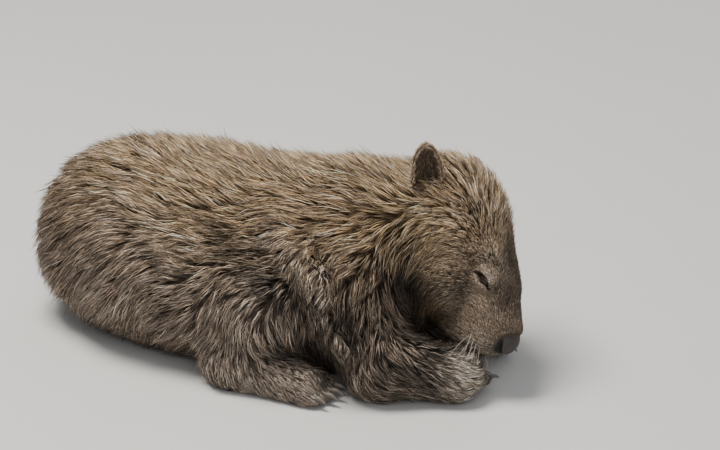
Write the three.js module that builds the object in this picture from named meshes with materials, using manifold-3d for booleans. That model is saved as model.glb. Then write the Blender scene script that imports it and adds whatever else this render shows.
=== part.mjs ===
// Bare-nosed wombat, adult and life-size, asleep in a crouch with its head bowed over its forepaws.
// Millimetres, +Z up. The animal faces +X, its left side is +Y, and it lies on z = 0.
import * as THREE from 'three';
import { mergeVertices } from 'three/addons/utils/BufferGeometryUtils.js';
import Module from 'manifold-3d';

const wasm = await Module();
wasm.setup();

const V = (x, y, z) => new THREE.Vector3(x, y, z);
const RIGHT = -1;
const LEFT = 1;
const HIND_DIGITS = [-1, 0, 1, 2];
const FORE_DIGITS = [-2, -1, 0, 1, 2];
const nameOf = (side) => (side === RIGHT ? 'right' : 'left');

// Driving dimensions
const SEAM = 0.35; // gap between two touching nodes
const ELBOW_CUT = 14; // the forearm begins this far ahead of the elbow
const LEFT_BACK = 60; // the left hind foot lies this much further back than the right
const TOUCH = 1.6; // room left where the chin lies over the forelegs
const TRUNK_CELL = 30; // size of the facets on the trunk
const LEG_CELL = 24; // on the thighs
const ARM_CELL = 19; // on the arms and the neck
const FOLD_CELL = 14; // on the fold of the flank
const FOOT_CELL = 12.8; // on the hind feet
const TAIL_CELL = 10; // on the tail
const PAW_CELL = 11.5; // on the forepaws
const HEAD_CELL = 12.5; // on the head
const FOOT_TOP = 47; // each hind foot ends at this height
const COAT = 10; // the core of the coat lies this deep under the tips of its locks
const SPARE = 0.25; // share of that depth that stays under the belly
const SLENDEREST = 0.002; // no facet is narrower
const LOCK_SPACING = 39; // between the roots of two locks
const ROOT_TRIES = 2600; // draws of a root on each node
const ROOT_FLOOR = 16; // no root below this height
const THINNEST_COAT = 3.5; // no lock where the coat is thinner
const LOCK_STEP = 20; // from one ring of a lock to the next
const LOCK_WIDTH = 20; // half its width at the widest ring
const LOCK_SWAY = 0.3; // most that a lock turns aside from one ring to the next, in radians
const LOCK_KEEL = 2.4; // the ridge of a lock stands this high over its middle line
const LOCK_EDGE = 2; // and its two edges hang this low
const LOCK_ROOT = 12; // how deep its root is sunk in the core
const LOCK_RINGS = [[1, 0.5], [0.8, 0.95], [0.4, 1], [0.02, 0.66], [-0.14, 0]]; // share of depth, of width
const EYE_RADIUS = 8.5;
const LID_RADII = V(17, 13.5, 11.2);
const LID_GAP = 2.6; // the eyes are all but shut
const HEAD_CUT = V(-84, 0, -64); // the head ends behind the ears and below the jaw, in its own frame
const EAR_HEIGHT = 54;
const EAR_WALL = 3.2;

// The skull's own frame: forward to the nose, left, and up through the crown
const SKULL_CENTRE = V(220.5, 31.5, 157);
const SKULL_FORWARD = V(0.449, -0.3375, -0.826).normalize();
const SKULL_UP = SKULL_FORWARD.clone().cross(V(-0.131, 0.887, -0.445)).normalize();
const skullFrame = new THREE.Matrix4()
  .makeBasis(SKULL_FORWARD, SKULL_UP.clone().cross(SKULL_FORWARD), SKULL_UP)
  .setPosition(SKULL_CENTRE);
const toSkull = skullFrame.clone().invert();
const fromSkull = (x, y, z) => V(x, y, z).applyMatrix4(skullFrame);
const skullWay = (x, y, z) => V(x, y, z).transformDirection(skullFrame);

// Distance to an ellipsoid, near its surface
function egg(centre, radii) {
  return (p) => {
    const x = (p.x - centre.x) / radii.x;
    const y = (p.y - centre.y) / radii.y;
    const z = (p.z - centre.z) / radii.z;
    const k = Math.hypot(x, y, z);
    const g = Math.hypot(x / radii.x, y / radii.y, z / radii.z);
    return g > 1e-9 ? (k * (k - 1)) / g : -Math.min(radii.x, radii.y, radii.z);
  };
}

// Distance to a limb that tapers from one joint to the next
function limb(start, end, startRadius, endRadius) {
  const along = end.clone().sub(start);
  const square = along.lengthSq();
  const offset = V(0, 0, 0);
  return (p) => {
    offset.copy(p).sub(start);
    const t = THREE.MathUtils.clamp(offset.dot(along) / square, 0, 1);
    return offset.addScaledVector(along, -t).length() - THREE.MathUtils.lerp(startRadius, endRadius, t);
  };
}

// One flesh from several, with fillets of about the given size
function joined(fillet, ...parts) {
  return (p) => {
    let d = parts[0](p);
    for (let i = 1; i < parts.length; i += 1) {
      const e = parts[i](p);
      const h = Math.max(fillet - Math.abs(d - e), 0) / fillet;
      d = Math.min(d, e) - (h * h * fillet) / 4;
    }
    return d;
  };
}

const nearest = (...parts) => (p) => Math.min(...parts.map((part) => part(p)));

// Trunk
const rump = egg(V(-185, 5, 104), V(122, 120, 108));
const barrel = egg(V(-45, -2, 107), V(188, 130, 121));
const belly = egg(V(-90, 0, 62), V(200, 122, 68));
const chest = egg(V(70, 4, 110), V(128, 108, 116));
const withers = egg(V(100, 12, 140), V(92, 88, 82));
const nape = limb(V(120, 14, 148), V(194, 40, 180), 84, 64);
const trunk = joined(50, barrel, rump, belly, chest, withers, nape);
const tail = limb(V(-285, 8, 104), V(-318, 8, 84), 17, 11);

// Head, in the skull's frame
const skull = [
  egg(V(-28, 0, -5), V(74, 62, 56)),
  egg(V(42, 0, 12), V(76, 42, 38)),
  egg(V(92, 0, 9), V(38, 31, 33)),
  egg(V(54, 0, -24), V(56, 28, 24)),
  ...[RIGHT, LEFT].map((side) => egg(V(2, side * 38, -20), V(58, 28, 38))),
  ...[RIGHT, LEFT].map((side) => egg(V(44, side * 29, 34), V(26, 13, 12))),
];
const skullFlesh = joined(22, ...skull);
const local = V(0, 0, 0);
const headFlesh = (p) => skullFlesh(local.copy(p).applyMatrix4(toSkull));

// Legs, folded: each hind foot lies flat beside the belly, each forearm lies ahead of its elbow
const across = (side, x, out, z) => V(x - (side === LEFT ? LEFT_BACK : 0), side * out + 3, z);
const toes = (side, digit) => [
  across(side, 102, 113 + digit * 11, 15),
  across(side, 130 - Math.abs(digit - 0.6) * 5, 112 + digit * 13.5, 11.5),
];

function hindLeg(side) {
  return joined(
    26,
    limb(V(-125, side * 72 + 3, 112), across(side, 52, 110, 96), 82, 49),
    limb(across(side, 52, 110, 90), across(side, 14, 124, 40), 46, 36),
    limb(across(side, 10, 125, 26), across(side, 108, 127, 19), 30, 24),
  );
}

function hindFoot(side) {
  return joined(8, hindLeg(side), ...HIND_DIGITS.map((digit) => limb(...toes(side, digit), 11, 10)));
}

// Fold of loose skin that hangs from the flank ahead of the knee
function flankFold(side) {
  return joined(
    20,
    limb(across(side, 58, 86, 172), across(side, 112, 116, 138), 25, 22),
    limb(across(side, 112, 116, 138), across(side, 146, 122, 76), 22, 18),
    limb(across(side, 146, 122, 76), across(side, 153, 114, 46), 18, 14),
  );
}

const foreJoints = {
  [RIGHT]: [V(118, -62, 118), V(172, -72, 45), V(248, -38, 33), V(246, -5, 18), V(245, 9, 14)],
  [LEFT]: [V(104, 74, 118), V(138, 106, 46), V(203, 109, 31), V(213, 100, 19), V(222, 92, 15)],
};

function foreLeg(side) {
  const [shoulder, elbow, wrist, palm] = foreJoints[side];
  return joined(
    24,
    limb(shoulder, elbow, 60, 44),
    limb(elbow, wrist, 42, 31),
    limb(wrist, palm, 27, 17),
  );
}

// The five digits of a forepaw, fanned about the way the palm points
function foreDigit(side, digit) {
  const [, , , palm, end] = foreJoints[side];
  const way = end.clone().sub(palm).setZ(0).normalize();
  const out = V(way.y, -way.x, 0);
  const from = palm.clone().addScaledVector(out, digit * 7).setZ(13);
  const to = from.clone().addScaledVector(way, 17 - Math.abs(digit) * 3).addScaledVector(out, digit * 2.5);
  return [from, to.setZ(10.5)];
}

function forePaw(side) {
  return joined(6, foreLeg(side), ...FORE_DIGITS.map((digit) => limb(...foreDigit(side, digit), 8.5, 7)));
}

const upperArm = (side) => limb(foreJoints[side][0], foreJoints[side][1], 60, 44);
const headAndNeck = joined(44, trunk, headFlesh);
const headAndArms = nearest(
  headAndNeck,
  joined(30, trunk, upperArm(RIGHT)),
  joined(30, trunk, upperArm(LEFT)),
);
const haunch = (side) => joined(24, joined(34, trunk, hindFoot(side)), flankFold(side));
const foreQuarter = (side) => joined(30, trunk, foreLeg(side));
const body = nearest(
  joined(12, trunk, tail),
  headAndNeck,
  ...[RIGHT, LEFT].map(haunch),
  ...[RIGHT, LEFT].map(foreQuarter),
);

// How deep the core lies: least under the belly, and nothing beside what has a short coat
function coatDepth(p) {
  local.copy(p).applyMatrix4(toSkull);
  const fromHead = Math.hypot(Math.max(0, HEAD_CUT.x - local.x), Math.max(0, HEAD_CUT.z - local.z));
  const low = THREE.MathUtils.smoothstep(p.z, 0, 60);
  return COAT * (SPARE + (1 - SPARE) * low) * THREE.MathUtils.smoothstep(fromHead, 0, 40);
}

// Wraps a closed surface of even cells round the zero level of a distance
function wrapped(distance, low, high, cell) {
  const counts = ['x', 'y', 'z'].map((axis) => Math.ceil((high[axis] - low[axis]) / cell) + 1);
  const [nx, ny, nz] = counts;
  const at = (i, j, k) => (i * ny + j) * nz + k;
  const values = new Float64Array(nx * ny * nz);
  const p = V(0, 0, 0);
  for (let i = 0; i < nx; i += 1) {
    for (let j = 0; j < ny; j += 1) {
      for (let k = 0; k < nz; k += 1) {
        p.set(low.x + i * cell, low.y + j * cell, low.z + k * cell);
        const rim = i === 0 || j === 0 || k === 0 || i === nx - 1 || j === ny - 1 || k === nz - 1;
        values[at(i, j, k)] = rim ? cell : distance(p);
      }
    }
  }
  const corners = [];
  for (let c = 0; c < 8; c += 1) corners.push([c & 1, (c >> 1) & 1, (c >> 2) & 1]);
  const edges = [];
  corners.forEach((a, m) => corners.forEach((b, n) => {
    const apart = Math.abs(a[0] - b[0]) + Math.abs(a[1] - b[1]) + Math.abs(a[2] - b[2]);
    if (m < n && apart === 1) edges.push([m, n]);
  }));
  const points = [];
  const vertexOf = new Map();
  for (let i = 0; i < nx - 1; i += 1) {
    for (let j = 0; j < ny - 1; j += 1) {
      for (let k = 0; k < nz - 1; k += 1) {
        const held = corners.map((c) => values[at(i + c[0], j + c[1], k + c[2])]);
        const sum = V(0, 0, 0);
        let crossings = 0;
        edges.forEach(([m, n]) => {
          if (held[m] < 0 === held[n] < 0) return;
          const t = held[m] / (held[m] - held[n]);
          sum.x += corners[m][0] + t * (corners[n][0] - corners[m][0]);
          sum.y += corners[m][1] + t * (corners[n][1] - corners[m][1]);
          sum.z += corners[m][2] + t * (corners[n][2] - corners[m][2]);
          crossings += 1;
        });
        if (crossings === 0) continue;
        sum.divideScalar(crossings);
        vertexOf.set(at(i, j, k), points.length);
        points.push(V(low.x + (i + sum.x) * cell, low.y + (j + sum.y) * cell, low.z + (k + sum.z) * cell));
      }
    }
  }
  const faces = [];
  const steps = [[1, 0, 0], [0, 1, 0], [0, 0, 1]];
  for (let i = 0; i < nx - 1; i += 1) {
    for (let j = 0; j < ny - 1; j += 1) {
      for (let k = 0; k < nz - 1; k += 1) {
        steps.forEach((step, axis) => {
          const inside = values[at(i, j, k)] < 0;
          if (inside === values[at(i + step[0], j + step[1], k + step[2])] < 0) return;
          const u = steps[(axis + 1) % 3];
          const v = steps[(axis + 2) % 3];
          const ring = [[0, 0], [1, 0], [1, 1], [0, 1]].map(([a, b]) => vertexOf.get(
            at(i - a * u[0] - b * v[0], j - a * u[1] - b * v[1], k - a * u[2] - b * v[2]),
          ));
          if (!inside) ring.reverse();
          const [a, b, c, d] = ring;
          if (points[a].distanceToSquared(points[c]) < points[b].distanceToSquared(points[d])) {
            faces.push(a, b, c, a, c, d);
          } else {
            faces.push(a, b, d, b, c, d);
          }
        });
      }
    }
  }
  return { points, faces };
}

// Rests every point on the zero level itself
function settled(points, distance) {
  const step = 0.5;
  points.forEach((point) => {
    for (let turn = 0; turn < 3; turn += 1) {
      const slope = slopeOf(distance, point, step);
      const d = distance(point);
      point.addScaledVector(slope, THREE.MathUtils.clamp(-d / slope.lengthSq(), -4, 4));
    }
  });
}

function slopeOf(distance, point, step = 0.5) {
  const d = (x, y, z) => distance(V(point.x + x * step, point.y + y * step, point.z + z * step));
  return V(
    (d(1, 0, 0) - d(-1, 0, 0)) / (2 * step),
    (d(0, 1, 0) - d(0, -1, 0)) / (2 * step),
    (d(0, 0, 1) - d(0, 0, -1)) / (2 * step),
  );
}

function solidFrom(points, faces) {
  const vertProperties = new Float32Array(points.flatMap((point) => point.toArray()));
  return new wasm.Manifold(new wasm.Mesh({ numProp: 3, vertProperties, triVerts: new Uint32Array(faces) }));
}

function solidOf(geometry, matrix = new THREE.Matrix4(), tolerance = 1e-4) {
  const bare = geometry.clone().applyMatrix4(matrix);
  bare.deleteAttribute('normal');
  bare.deleteAttribute('uv');
  const merged = mergeVertices(bare, tolerance);
  return new wasm.Manifold(new wasm.Mesh({
    numProp: 3,
    vertProperties: merged.attributes.position.array,
    triVerts: new Uint32Array(merged.index.array),
  }));
}

// True where two folds of a surface touch along an edge
function pinched(faces) {
  const uses = new Map();
  for (let f = 0; f < faces.length; f += 3) {
    for (let k = 0; k < 3; k += 1) {
      const a = faces[f + k];
      const b = faces[f + ((k + 1) % 3)];
      const key = Math.min(a, b) * 1e6 + Math.max(a, b);
      uses.set(key, (uses.get(key) || 0) + 1);
    }
  }
  return [...uses.values()].some((count) => count !== 2);
}

// A solid of flesh between two corners: the cells are moved on until no two folds touch
function fleshSolid(distance, low, high, cell) {
  let found;
  for (let shift = 0; shift < 30; shift += 1) {
    const moved = V((shift * 0.31) % 1, (shift * 0.47) % 1, (shift * 0.19) % 1);
    found = wrapped(distance, low.clone().addScaledVector(moved, -cell), high, cell);
    if (!pinched(found.faces)) break;
  }
  settled(found.points, distance);
  return solidFrom(found.points, found.faces);
}

// A cutting block between two corners, about a pivot and turned with it
function block(low, high, turn = new THREE.Matrix4()) {
  const solid = (margin) => {
    const grown = V(margin, margin, margin);
    const size = high.clone().sub(low).addScaledVector(grown, 2);
    const middle = high.clone().add(low).multiplyScalar(0.5);
    const place = turn.clone().multiply(new THREE.Matrix4().setPosition(middle));
    return solidOf(new THREE.BoxGeometry(size.x, size.y, size.z), place);
  };
  const corners = [];
  for (let c = 0; c < 8; c += 1) {
    const corner = V(c & 1 ? high.x : low.x, c & 2 ? high.y : low.y, c & 4 ? high.z : low.z);
    corners.push(corner.applyMatrix4(turn));
  }
  const bounds = new THREE.Box3().setFromPoints(corners);
  const back = turn.clone().invert();
  const inner = V(0, 0, 0);
  const holds = (point, margin) => {
    inner.copy(point).applyMatrix4(back);
    const between = (axis) => inner[axis] > low[axis] + margin && inner[axis] < high[axis] - margin;
    return ['x', 'y', 'z'].every(between);
  };
  return { solid, bounds, holds };
}

function turned(pivot, yaw, roll = 0) {
  return new THREE.Matrix4()
    .makeRotationFromEuler(new THREE.Euler(roll, 0, yaw, 'ZXY'))
    .setPosition(pivot);
}

function geometryOf(solid) {
  const mesh = solid.getMesh();
  const geometry = new THREE.BufferGeometry();
  geometry.setAttribute('position', new THREE.BufferAttribute(new Float32Array(mesh.vertProperties), 3));
  geometry.setIndex(new THREE.BufferAttribute(new Uint32Array(mesh.triVerts), 1));
  return geometry;
}

// The largest closed piece of a cut solid, with points that all but touch made one
function largest(solid) {
  const pieces = solidOf(geometryOf(solid), new THREE.Matrix4(), 2e-3).decompose();
  return pieces.reduce((best, piece) => (piece.volume() > best.volume() ? piece : best), pieces[0]);
}

const HEAD_REACH = [V(100, -100, 30), V(330, 140, 280)];
const REACH = new THREE.Box3(V(-345, -190, -12), V(330, 195, 300));

const sided = (side, lowOut, highOut) => [
  Math.min(side * lowOut, side * highOut),
  Math.max(side * lowOut, side * highOut),
];

function sideBlock(side, x, out, z, turn) {
  const [lowY, highY] = sided(side, ...out);
  return block(V(x[0], lowY, z[0]), V(x[1], highY, z[1]), turn);
}

// Every node of flesh: its name, its share of the body, the size of its facets and its outline,
// and, where long locks cover it, how much of the coat's depth lies over its core
const shares = [];
const share = (name, piece, cell, outline, fade = null) => {
  shares.push({ name, piece, cell, outline, fade });
};
const { smoothstep } = THREE.MathUtils;
const tailOutline = joined(12, (p) => trunk(p) + coatDepth(p), tail);
share('tail', block(V(-345, -30, 40), V(-298, 46, 130)), TAIL_CELL, tailOutline);
for (const side of [RIGHT, LEFT]) {
  const suffix = nameOf(side);
  const [, elbow, wrist] = foreJoints[side];
  const yaw = Math.atan2(wrist.y - elbow.y, wrist.x - elbow.x);
  const reach = Math.hypot(wrist.x - elbow.x, wrist.y - elbow.y);
  const arm = turned(V(elbow.x, elbow.y, 0), yaw);
  const fromElbow = (p) => (p.x - elbow.x) * Math.cos(yaw) + (p.y - elbow.y) * Math.sin(yaw);
  const shoulder = turned(V(elbow.x, elbow.y, 0), yaw, -side * 0.2);
  const back = side === LEFT ? LEFT_BACK : 0;
  const overFoot = (p) => (
    smoothstep(p.x, -70 - back, -28 - back) * (1 - smoothstep(p.z, FOOT_TOP, FOOT_TOP + 40))
  );
  const legs = haunch(side);
  share(
    `hind_foot_${suffix}`,
    sideBlock(side, [-28 - back, 152 - back], [88, 190], [0, FOOT_TOP]),
    FOOT_CELL,
    legs,
  );
  share(
    `flank_fold_${suffix}`,
    sideBlock(side, [100 - back, 172 - back], [106, 190], [0, 176]),
    FOLD_CELL,
    legs,
  );
  share(
    `thigh_${suffix}`,
    sideBlock(side, [-181, 100 - back], [73, 190], [0, 176.5]),
    LEG_CELL,
    legs,
    (p) => 1 - overFoot(p),
  );
  share(
    `forepaw_${suffix}`,
    block(V(reach - 4, -90, 0), V(reach + 60, 90, 80), arm),
    PAW_CELL,
    forePaw(side),
  );
  share(
    `forearm_${suffix}`,
    block(V(ELBOW_CUT, -70, 0), V(reach - 4, 70, 110), arm),
    ARM_CELL,
    foreLeg(side),
    (p) => 0.7 * smoothstep(reach - fromElbow(p), 4, 40),
  );
  share(
    `upper_arm_${suffix}`,
    sideBlock(side, [-72, ELBOW_CUT], [-44, 90], [-20, 88], shoulder),
    ARM_CELL,
    foreQuarter(side),
    () => 0.7,
  );
}
share('head', block(V(HEAD_CUT.x, -112, HEAD_CUT.z), V(150, 112, 100), skullFrame), HEAD_CELL, headAndNeck);
share('neck', block(V(128, -190, 0), V(330, 195, 300)), ARM_CELL, headAndArms, () => 1);
share('shoulders', block(V(20, -190, 0), V(128, 195, 300)), TRUNK_CELL, body, () => 1);
share('trunk', block(V(-130, -190, 0), V(20, 195, 300)), TRUNK_CELL, body, () => 1);
share('rump', block(V(-345, -190, 0), V(-130, 195, 300)), TRUNK_CELL, body, () => 1);

const ground = block(V(-400, -250, 0), V(400, 250, 400)).solid(0);

function fleshOf({ piece, cell, outline, fade }, scale) {
  const facet = cell * scale;
  const bounds = piece.bounds.clone().intersect(REACH);
  bounds.min.addScalar(-1.5 * facet);
  bounds.max.addScalar(1.5 * facet);
  const distance = fade ? (p) => outline(p) + coatDepth(p) * fade(p) : outline;
  return fleshSolid(distance, bounds.min, bounds.max, facet);
}

// The way the coat lies: streams that each sway the hair round about a middle
const streams = [
  [V(-40, 0, 230), 130, V(-1, 0, -0.08)],
  [V(-270, 0, 150), 95, V(-0.45, 0, -1)],
  [V(170, 30, 240), 60, V(-1, -0.1, -0.1)],
];
for (const side of [RIGHT, LEFT]) {
  const back = side === LEFT ? LEFT_BACK : 0;
  streams.push(
    [V(-120, side * 130, 120), 85, V(-0.9, 0, -0.5)],
    [V(-150, side * 120, 40), 60, V(-0.5, 0, -1)],
    [V(40 - back, side * 150, 120), 45, V(-0.2, 0, -1)],
    [V(60 - back, side * 150, 60), 50, V(0.6, 0, -0.8)],
    [V(135 - back, side * 125, 90), 40, V(0.2, 0, -1)],
    [V(60, side * 100, 190), 60, V(-1, 0, -0.35)],
    [V(175, side * 85, 150), 45, V(-0.7, 0, -0.8)],
    [V(160, side * 110, 90), 40, V(0.35, 0, -1)],
    [V(220, side * 70, 50), 45, V(1, -0.1 * side, -0.55)],
  );
}

function lie(point, normal) {
  const way = V(0, 0, 0);
  streams.forEach(([middle, reach, flow]) => {
    way.addScaledVector(flow, Math.exp(-middle.distanceToSquared(point) / (reach * reach)) + 1e-6);
  });
  return way.addScaledVector(normal, -way.dot(normal)).normalize();
}

// A seeded draw between 0 and 1
function seeded(seed) {
  let state = seed;
  return () => {
    state = (Math.imul(state, 1664525) + 1013904223) >>> 0;
    return state / 4294967296;
  };
}

// One lock: a flat keeled blade that leaves the core, bows over along the lie and ends in a point.
// It is left out, as null, where it would leave its own node or reach the ground.
function lock(root, entry, draw, stretch) {
  const { outline, fade, piece, before } = entry;
  const point = root.clone();
  const sway = (draw() - 0.5) * LOCK_SWAY;
  const wide = LOCK_WIDTH * (0.85 + 0.3 * draw());
  const lift = draw() * 1.5 - LOCK_KEEL;
  const points = [];
  let normal = slopeOf(outline, point, 3).normalize();
  let way = lie(point, normal);
  point.addScaledVector(way, -5);
  for (let ring = 0; ring < LOCK_RINGS.length; ring += 1) {
    const [sunk, width] = LOCK_RINGS[ring];
    const level = ring === 0 ? -LOCK_ROOT : lift;
    const depth = coatDepth(point) * fade(point) * sunk;
    normal = slopeOf(outline, point, 3).normalize();
    point.addScaledVector(normal, level - depth - outline(point));
    way = lie(point, normal).applyAxisAngle(normal, sway * (ring - 1));
    const flat = normal.clone().cross(way);
    if (width > 0) {
      const edge = point.clone().addScaledVector(normal, -LOCK_EDGE);
      points.push(edge.clone().addScaledVector(flat, wide * width));
      points.push(point.clone().addScaledVector(normal, LOCK_KEEL));
      points.push(edge.addScaledVector(flat, -wide * width));
    } else {
      points.push(point.clone());
    }
    const inside = piece.holds(point, 2) && point.z > 5 && !before.some((other) => other.holds(point, -2));
    if (ring > 0 && !inside) return null;
    point.addScaledVector(way, (ring === 0 ? 0.7 : 1) * stretch * LOCK_STEP);
  }
  const faces = [0, 2, 1];
  const last = (LOCK_RINGS.length - 2) * 3;
  for (let row = 0; row < last; row += 3) {
    for (let k = 0; k < 3; k += 1) {
      const a = row + k;
      const b = row + ((k + 1) % 3);
      faces.push(a, b, b + 3, a, b + 3, a + 3);
    }
  }
  const tip = points.length - 1;
  for (let k = 0; k < 3; k += 1) faces.push(last + k, last + ((k + 1) % 3), tip);
  return solidFrom(points, faces);
}

// Roots spread evenly over the core of a node, drawn from its own facets
function rootsOn(core, entry, draw) {
  const { outline, fade, piece } = entry;
  const mesh = core.getMesh();
  const corner = (index) => V(...mesh.vertProperties.subarray(3 * index, 3 * index + 3));
  const facets = [];
  let area = 0;
  for (let f = 0; f < mesh.triVerts.length; f += 3) {
    const triangle = new THREE.Triangle(...[0, 1, 2].map((k) => corner(mesh.triVerts[f + k])));
    area += triangle.getArea();
    facets.push({ triangle, area });
  }
  const roots = [];
  for (let tries = 0; tries < ROOT_TRIES; tries += 1) {
    const pick = draw() * area;
    const { triangle } = facets.find((facet) => facet.area >= pick);
    let [s, t] = [draw(), draw()];
    if (s + t > 1) [s, t] = [1 - s, 1 - t];
    const point = triangle.a.clone()
      .addScaledVector(triangle.b.clone().sub(triangle.a), s)
      .addScaledVector(triangle.c.clone().sub(triangle.a), t);
    const depth = coatDepth(point) * fade(point);
    const onCoat = Math.abs(outline(point) + depth) < 2 && depth > THINNEST_COAT && point.z > ROOT_FLOOR;
    if (!onCoat || !piece.holds(point, 3)) continue;
    if (roots.some((root) => root.distanceTo(point) < LOCK_SPACING)) continue;
    roots.push(point);
  }
  return roots;
}

// The forearms and paws, a little larger, to clear the throat and the chin that lie over them
const armRoom = [RIGHT, LEFT].map((side) => {
  const [, elbow, wrist] = foreJoints[side];
  const yaw = Math.atan2(wrist.y - elbow.y, wrist.x - elbow.x);
  const ahead = block(V(ELBOW_CUT, -110, -20), V(190, 110, 150), turned(V(elbow.x, elbow.y, 0), yaw));
  const grown = forePaw(side);
  const room = fleshSolid((p) => grown(p) - TOUCH, V(90, -140, -12), V(310, 175, 125), 13);
  return room.intersect(ahead.solid(SEAM));
}).reduce((a, b) => a.add(b));

// True where every edge has two faces once points closer than a thousandth are one,
// and no facet is so slender that it has all but no area
function intact(solid) {
  const mesh = solid.getMesh();
  const corner = (index) => V(...mesh.vertProperties.subarray(3 * index, 3 * index + 3));
  const seen = new Map();
  const same = [];
  for (let v = 0; v < mesh.vertProperties.length; v += 3) {
    const key = [0, 1, 2].map((k) => Math.round(mesh.vertProperties[v + k] * 1000)).join();
    if (!seen.has(key)) seen.set(key, seen.size);
    same.push(seen.get(key));
  }
  for (let f = 0; f < mesh.triVerts.length; f += 3) {
    const [a, b, c] = [0, 1, 2].map((k) => corner(mesh.triVerts[f + k]));
    const longest = Math.max(a.distanceTo(b), b.distanceTo(c), c.distanceTo(a));
    if (2 * new THREE.Triangle(a, b, c).getArea() < SLENDEREST * longest) return false;
  }
  return !pinched(Array.from(mesh.triVerts, (vertex) => same[vertex]));
}

const solids = new Map();
shares.forEach((entry, index) => {
  const draw = seeded(1000 + 77 * index);
  const earlier = shares.slice(0, index).filter(({ name, piece }) => {
    const besideArm = /^fore/.test(name) && /^(head|neck)$/.test(entry.name);
    return !besideArm && piece.bounds.intersectsBox(entry.piece.bounds);
  });
  const clear = entry.name === 'neck' ? ground.subtract(armRoom) : ground;
  const cut = (solid) => earlier.reduce(
    (left, { piece }) => left.subtract(piece.solid(SEAM)),
    solid.intersect(entry.piece.solid(0)).intersect(clear),
  );
  entry.before = earlier.map(({ piece }) => piece);
  let solid = fleshOf(entry, 1);
  for (let scale = 0.995; scale > 0.9 && !intact(largest(cut(solid))); scale -= 0.005) {
    solid = fleshOf(entry, scale);
  }
  if (entry.fade) {
    for (const root of rootsOn(cut(solid), entry, draw)) {
      for (const stretch of [1, 0.88, 0.76, 0.64]) {
        const blade = lock(root, entry, draw, stretch);
        const grown = blade && solid.add(blade);
        if (grown && intact(largest(cut(grown)))) {
          solid = grown;
          break;
        }
      }
    }
  }
  solids.set(entry.name, largest(cut(solid)));
});
const extras = new Map();
const carve = (name, cutter) => solids.set(name, solids.get(name).subtract(cutter));
const weld = (name, addition) => solids.set(name, solids.get(name).add(addition));

// The point where a ray leaves the flesh of the head
function faceAt(inside, way) {
  const point = inside.clone();
  for (let turn = 0; turn < 60; turn += 1) point.addScaledVector(way, -headAndNeck(point) * 0.6);
  return point;
}

// A closed tube of given radii through given points, round or flattened, ended in blunt tips
function tube(path, radii, sides, flat = 1, up = V(0, 0, 1)) {
  const points = [];
  const faces = [];
  path.forEach((centre, row) => {
    const ahead = path[Math.min(row + 1, path.length - 1)];
    const way = ahead.clone().sub(path[Math.max(row - 1, 0)]).normalize();
    const across = way.clone().cross(up).normalize();
    const rise = across.clone().cross(way);
    for (let k = 0; k < sides; k += 1) {
      const angle = (2 * Math.PI * k) / sides;
      points.push(centre.clone()
        .addScaledVector(across, radii[row] * Math.cos(angle))
        .addScaledVector(rise, radii[row] * flat * Math.sin(angle)));
    }
    if (row === 0) return;
    for (let k = 0; k < sides; k += 1) {
      const a = (row - 1) * sides + k;
      const b = (row - 1) * sides + ((k + 1) % sides);
      faces.push(a, a + sides, b + sides, a, b + sides, b);
    }
  });
  const last = (path.length - 1) * sides;
  for (let k = 1; k < sides - 1; k += 1) {
    faces.push(0, k, k + 1);
    faces.push(last, last + k + 1, last + k);
  }
  return solidFrom(points, faces);
}

// A curved claw: rooted in its digit, thick at the root, bowed over and drawn to a point
function claw(root, way, length, radius, margin = 0) {
  const path = [];
  const radii = [];
  const STEPS = 3;
  for (let step = 0; step <= STEPS; step += 1) {
    const t = step / STEPS;
    const point = root.clone().addScaledVector(way, length * t);
    point.z += length * (0.16 * Math.sin(Math.PI * t) - 0.12 * t);
    path.push(point);
    radii.push(radius * (1 - 0.82 * t ** 1.6) + margin);
  }
  if (margin > 0) path[0].addScaledVector(way, -margin);
  return tube(path, radii, 4, 0.8);
}

const keep = (name, solid, look) => extras.set(name, { solid: largest(solid), look });

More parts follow.
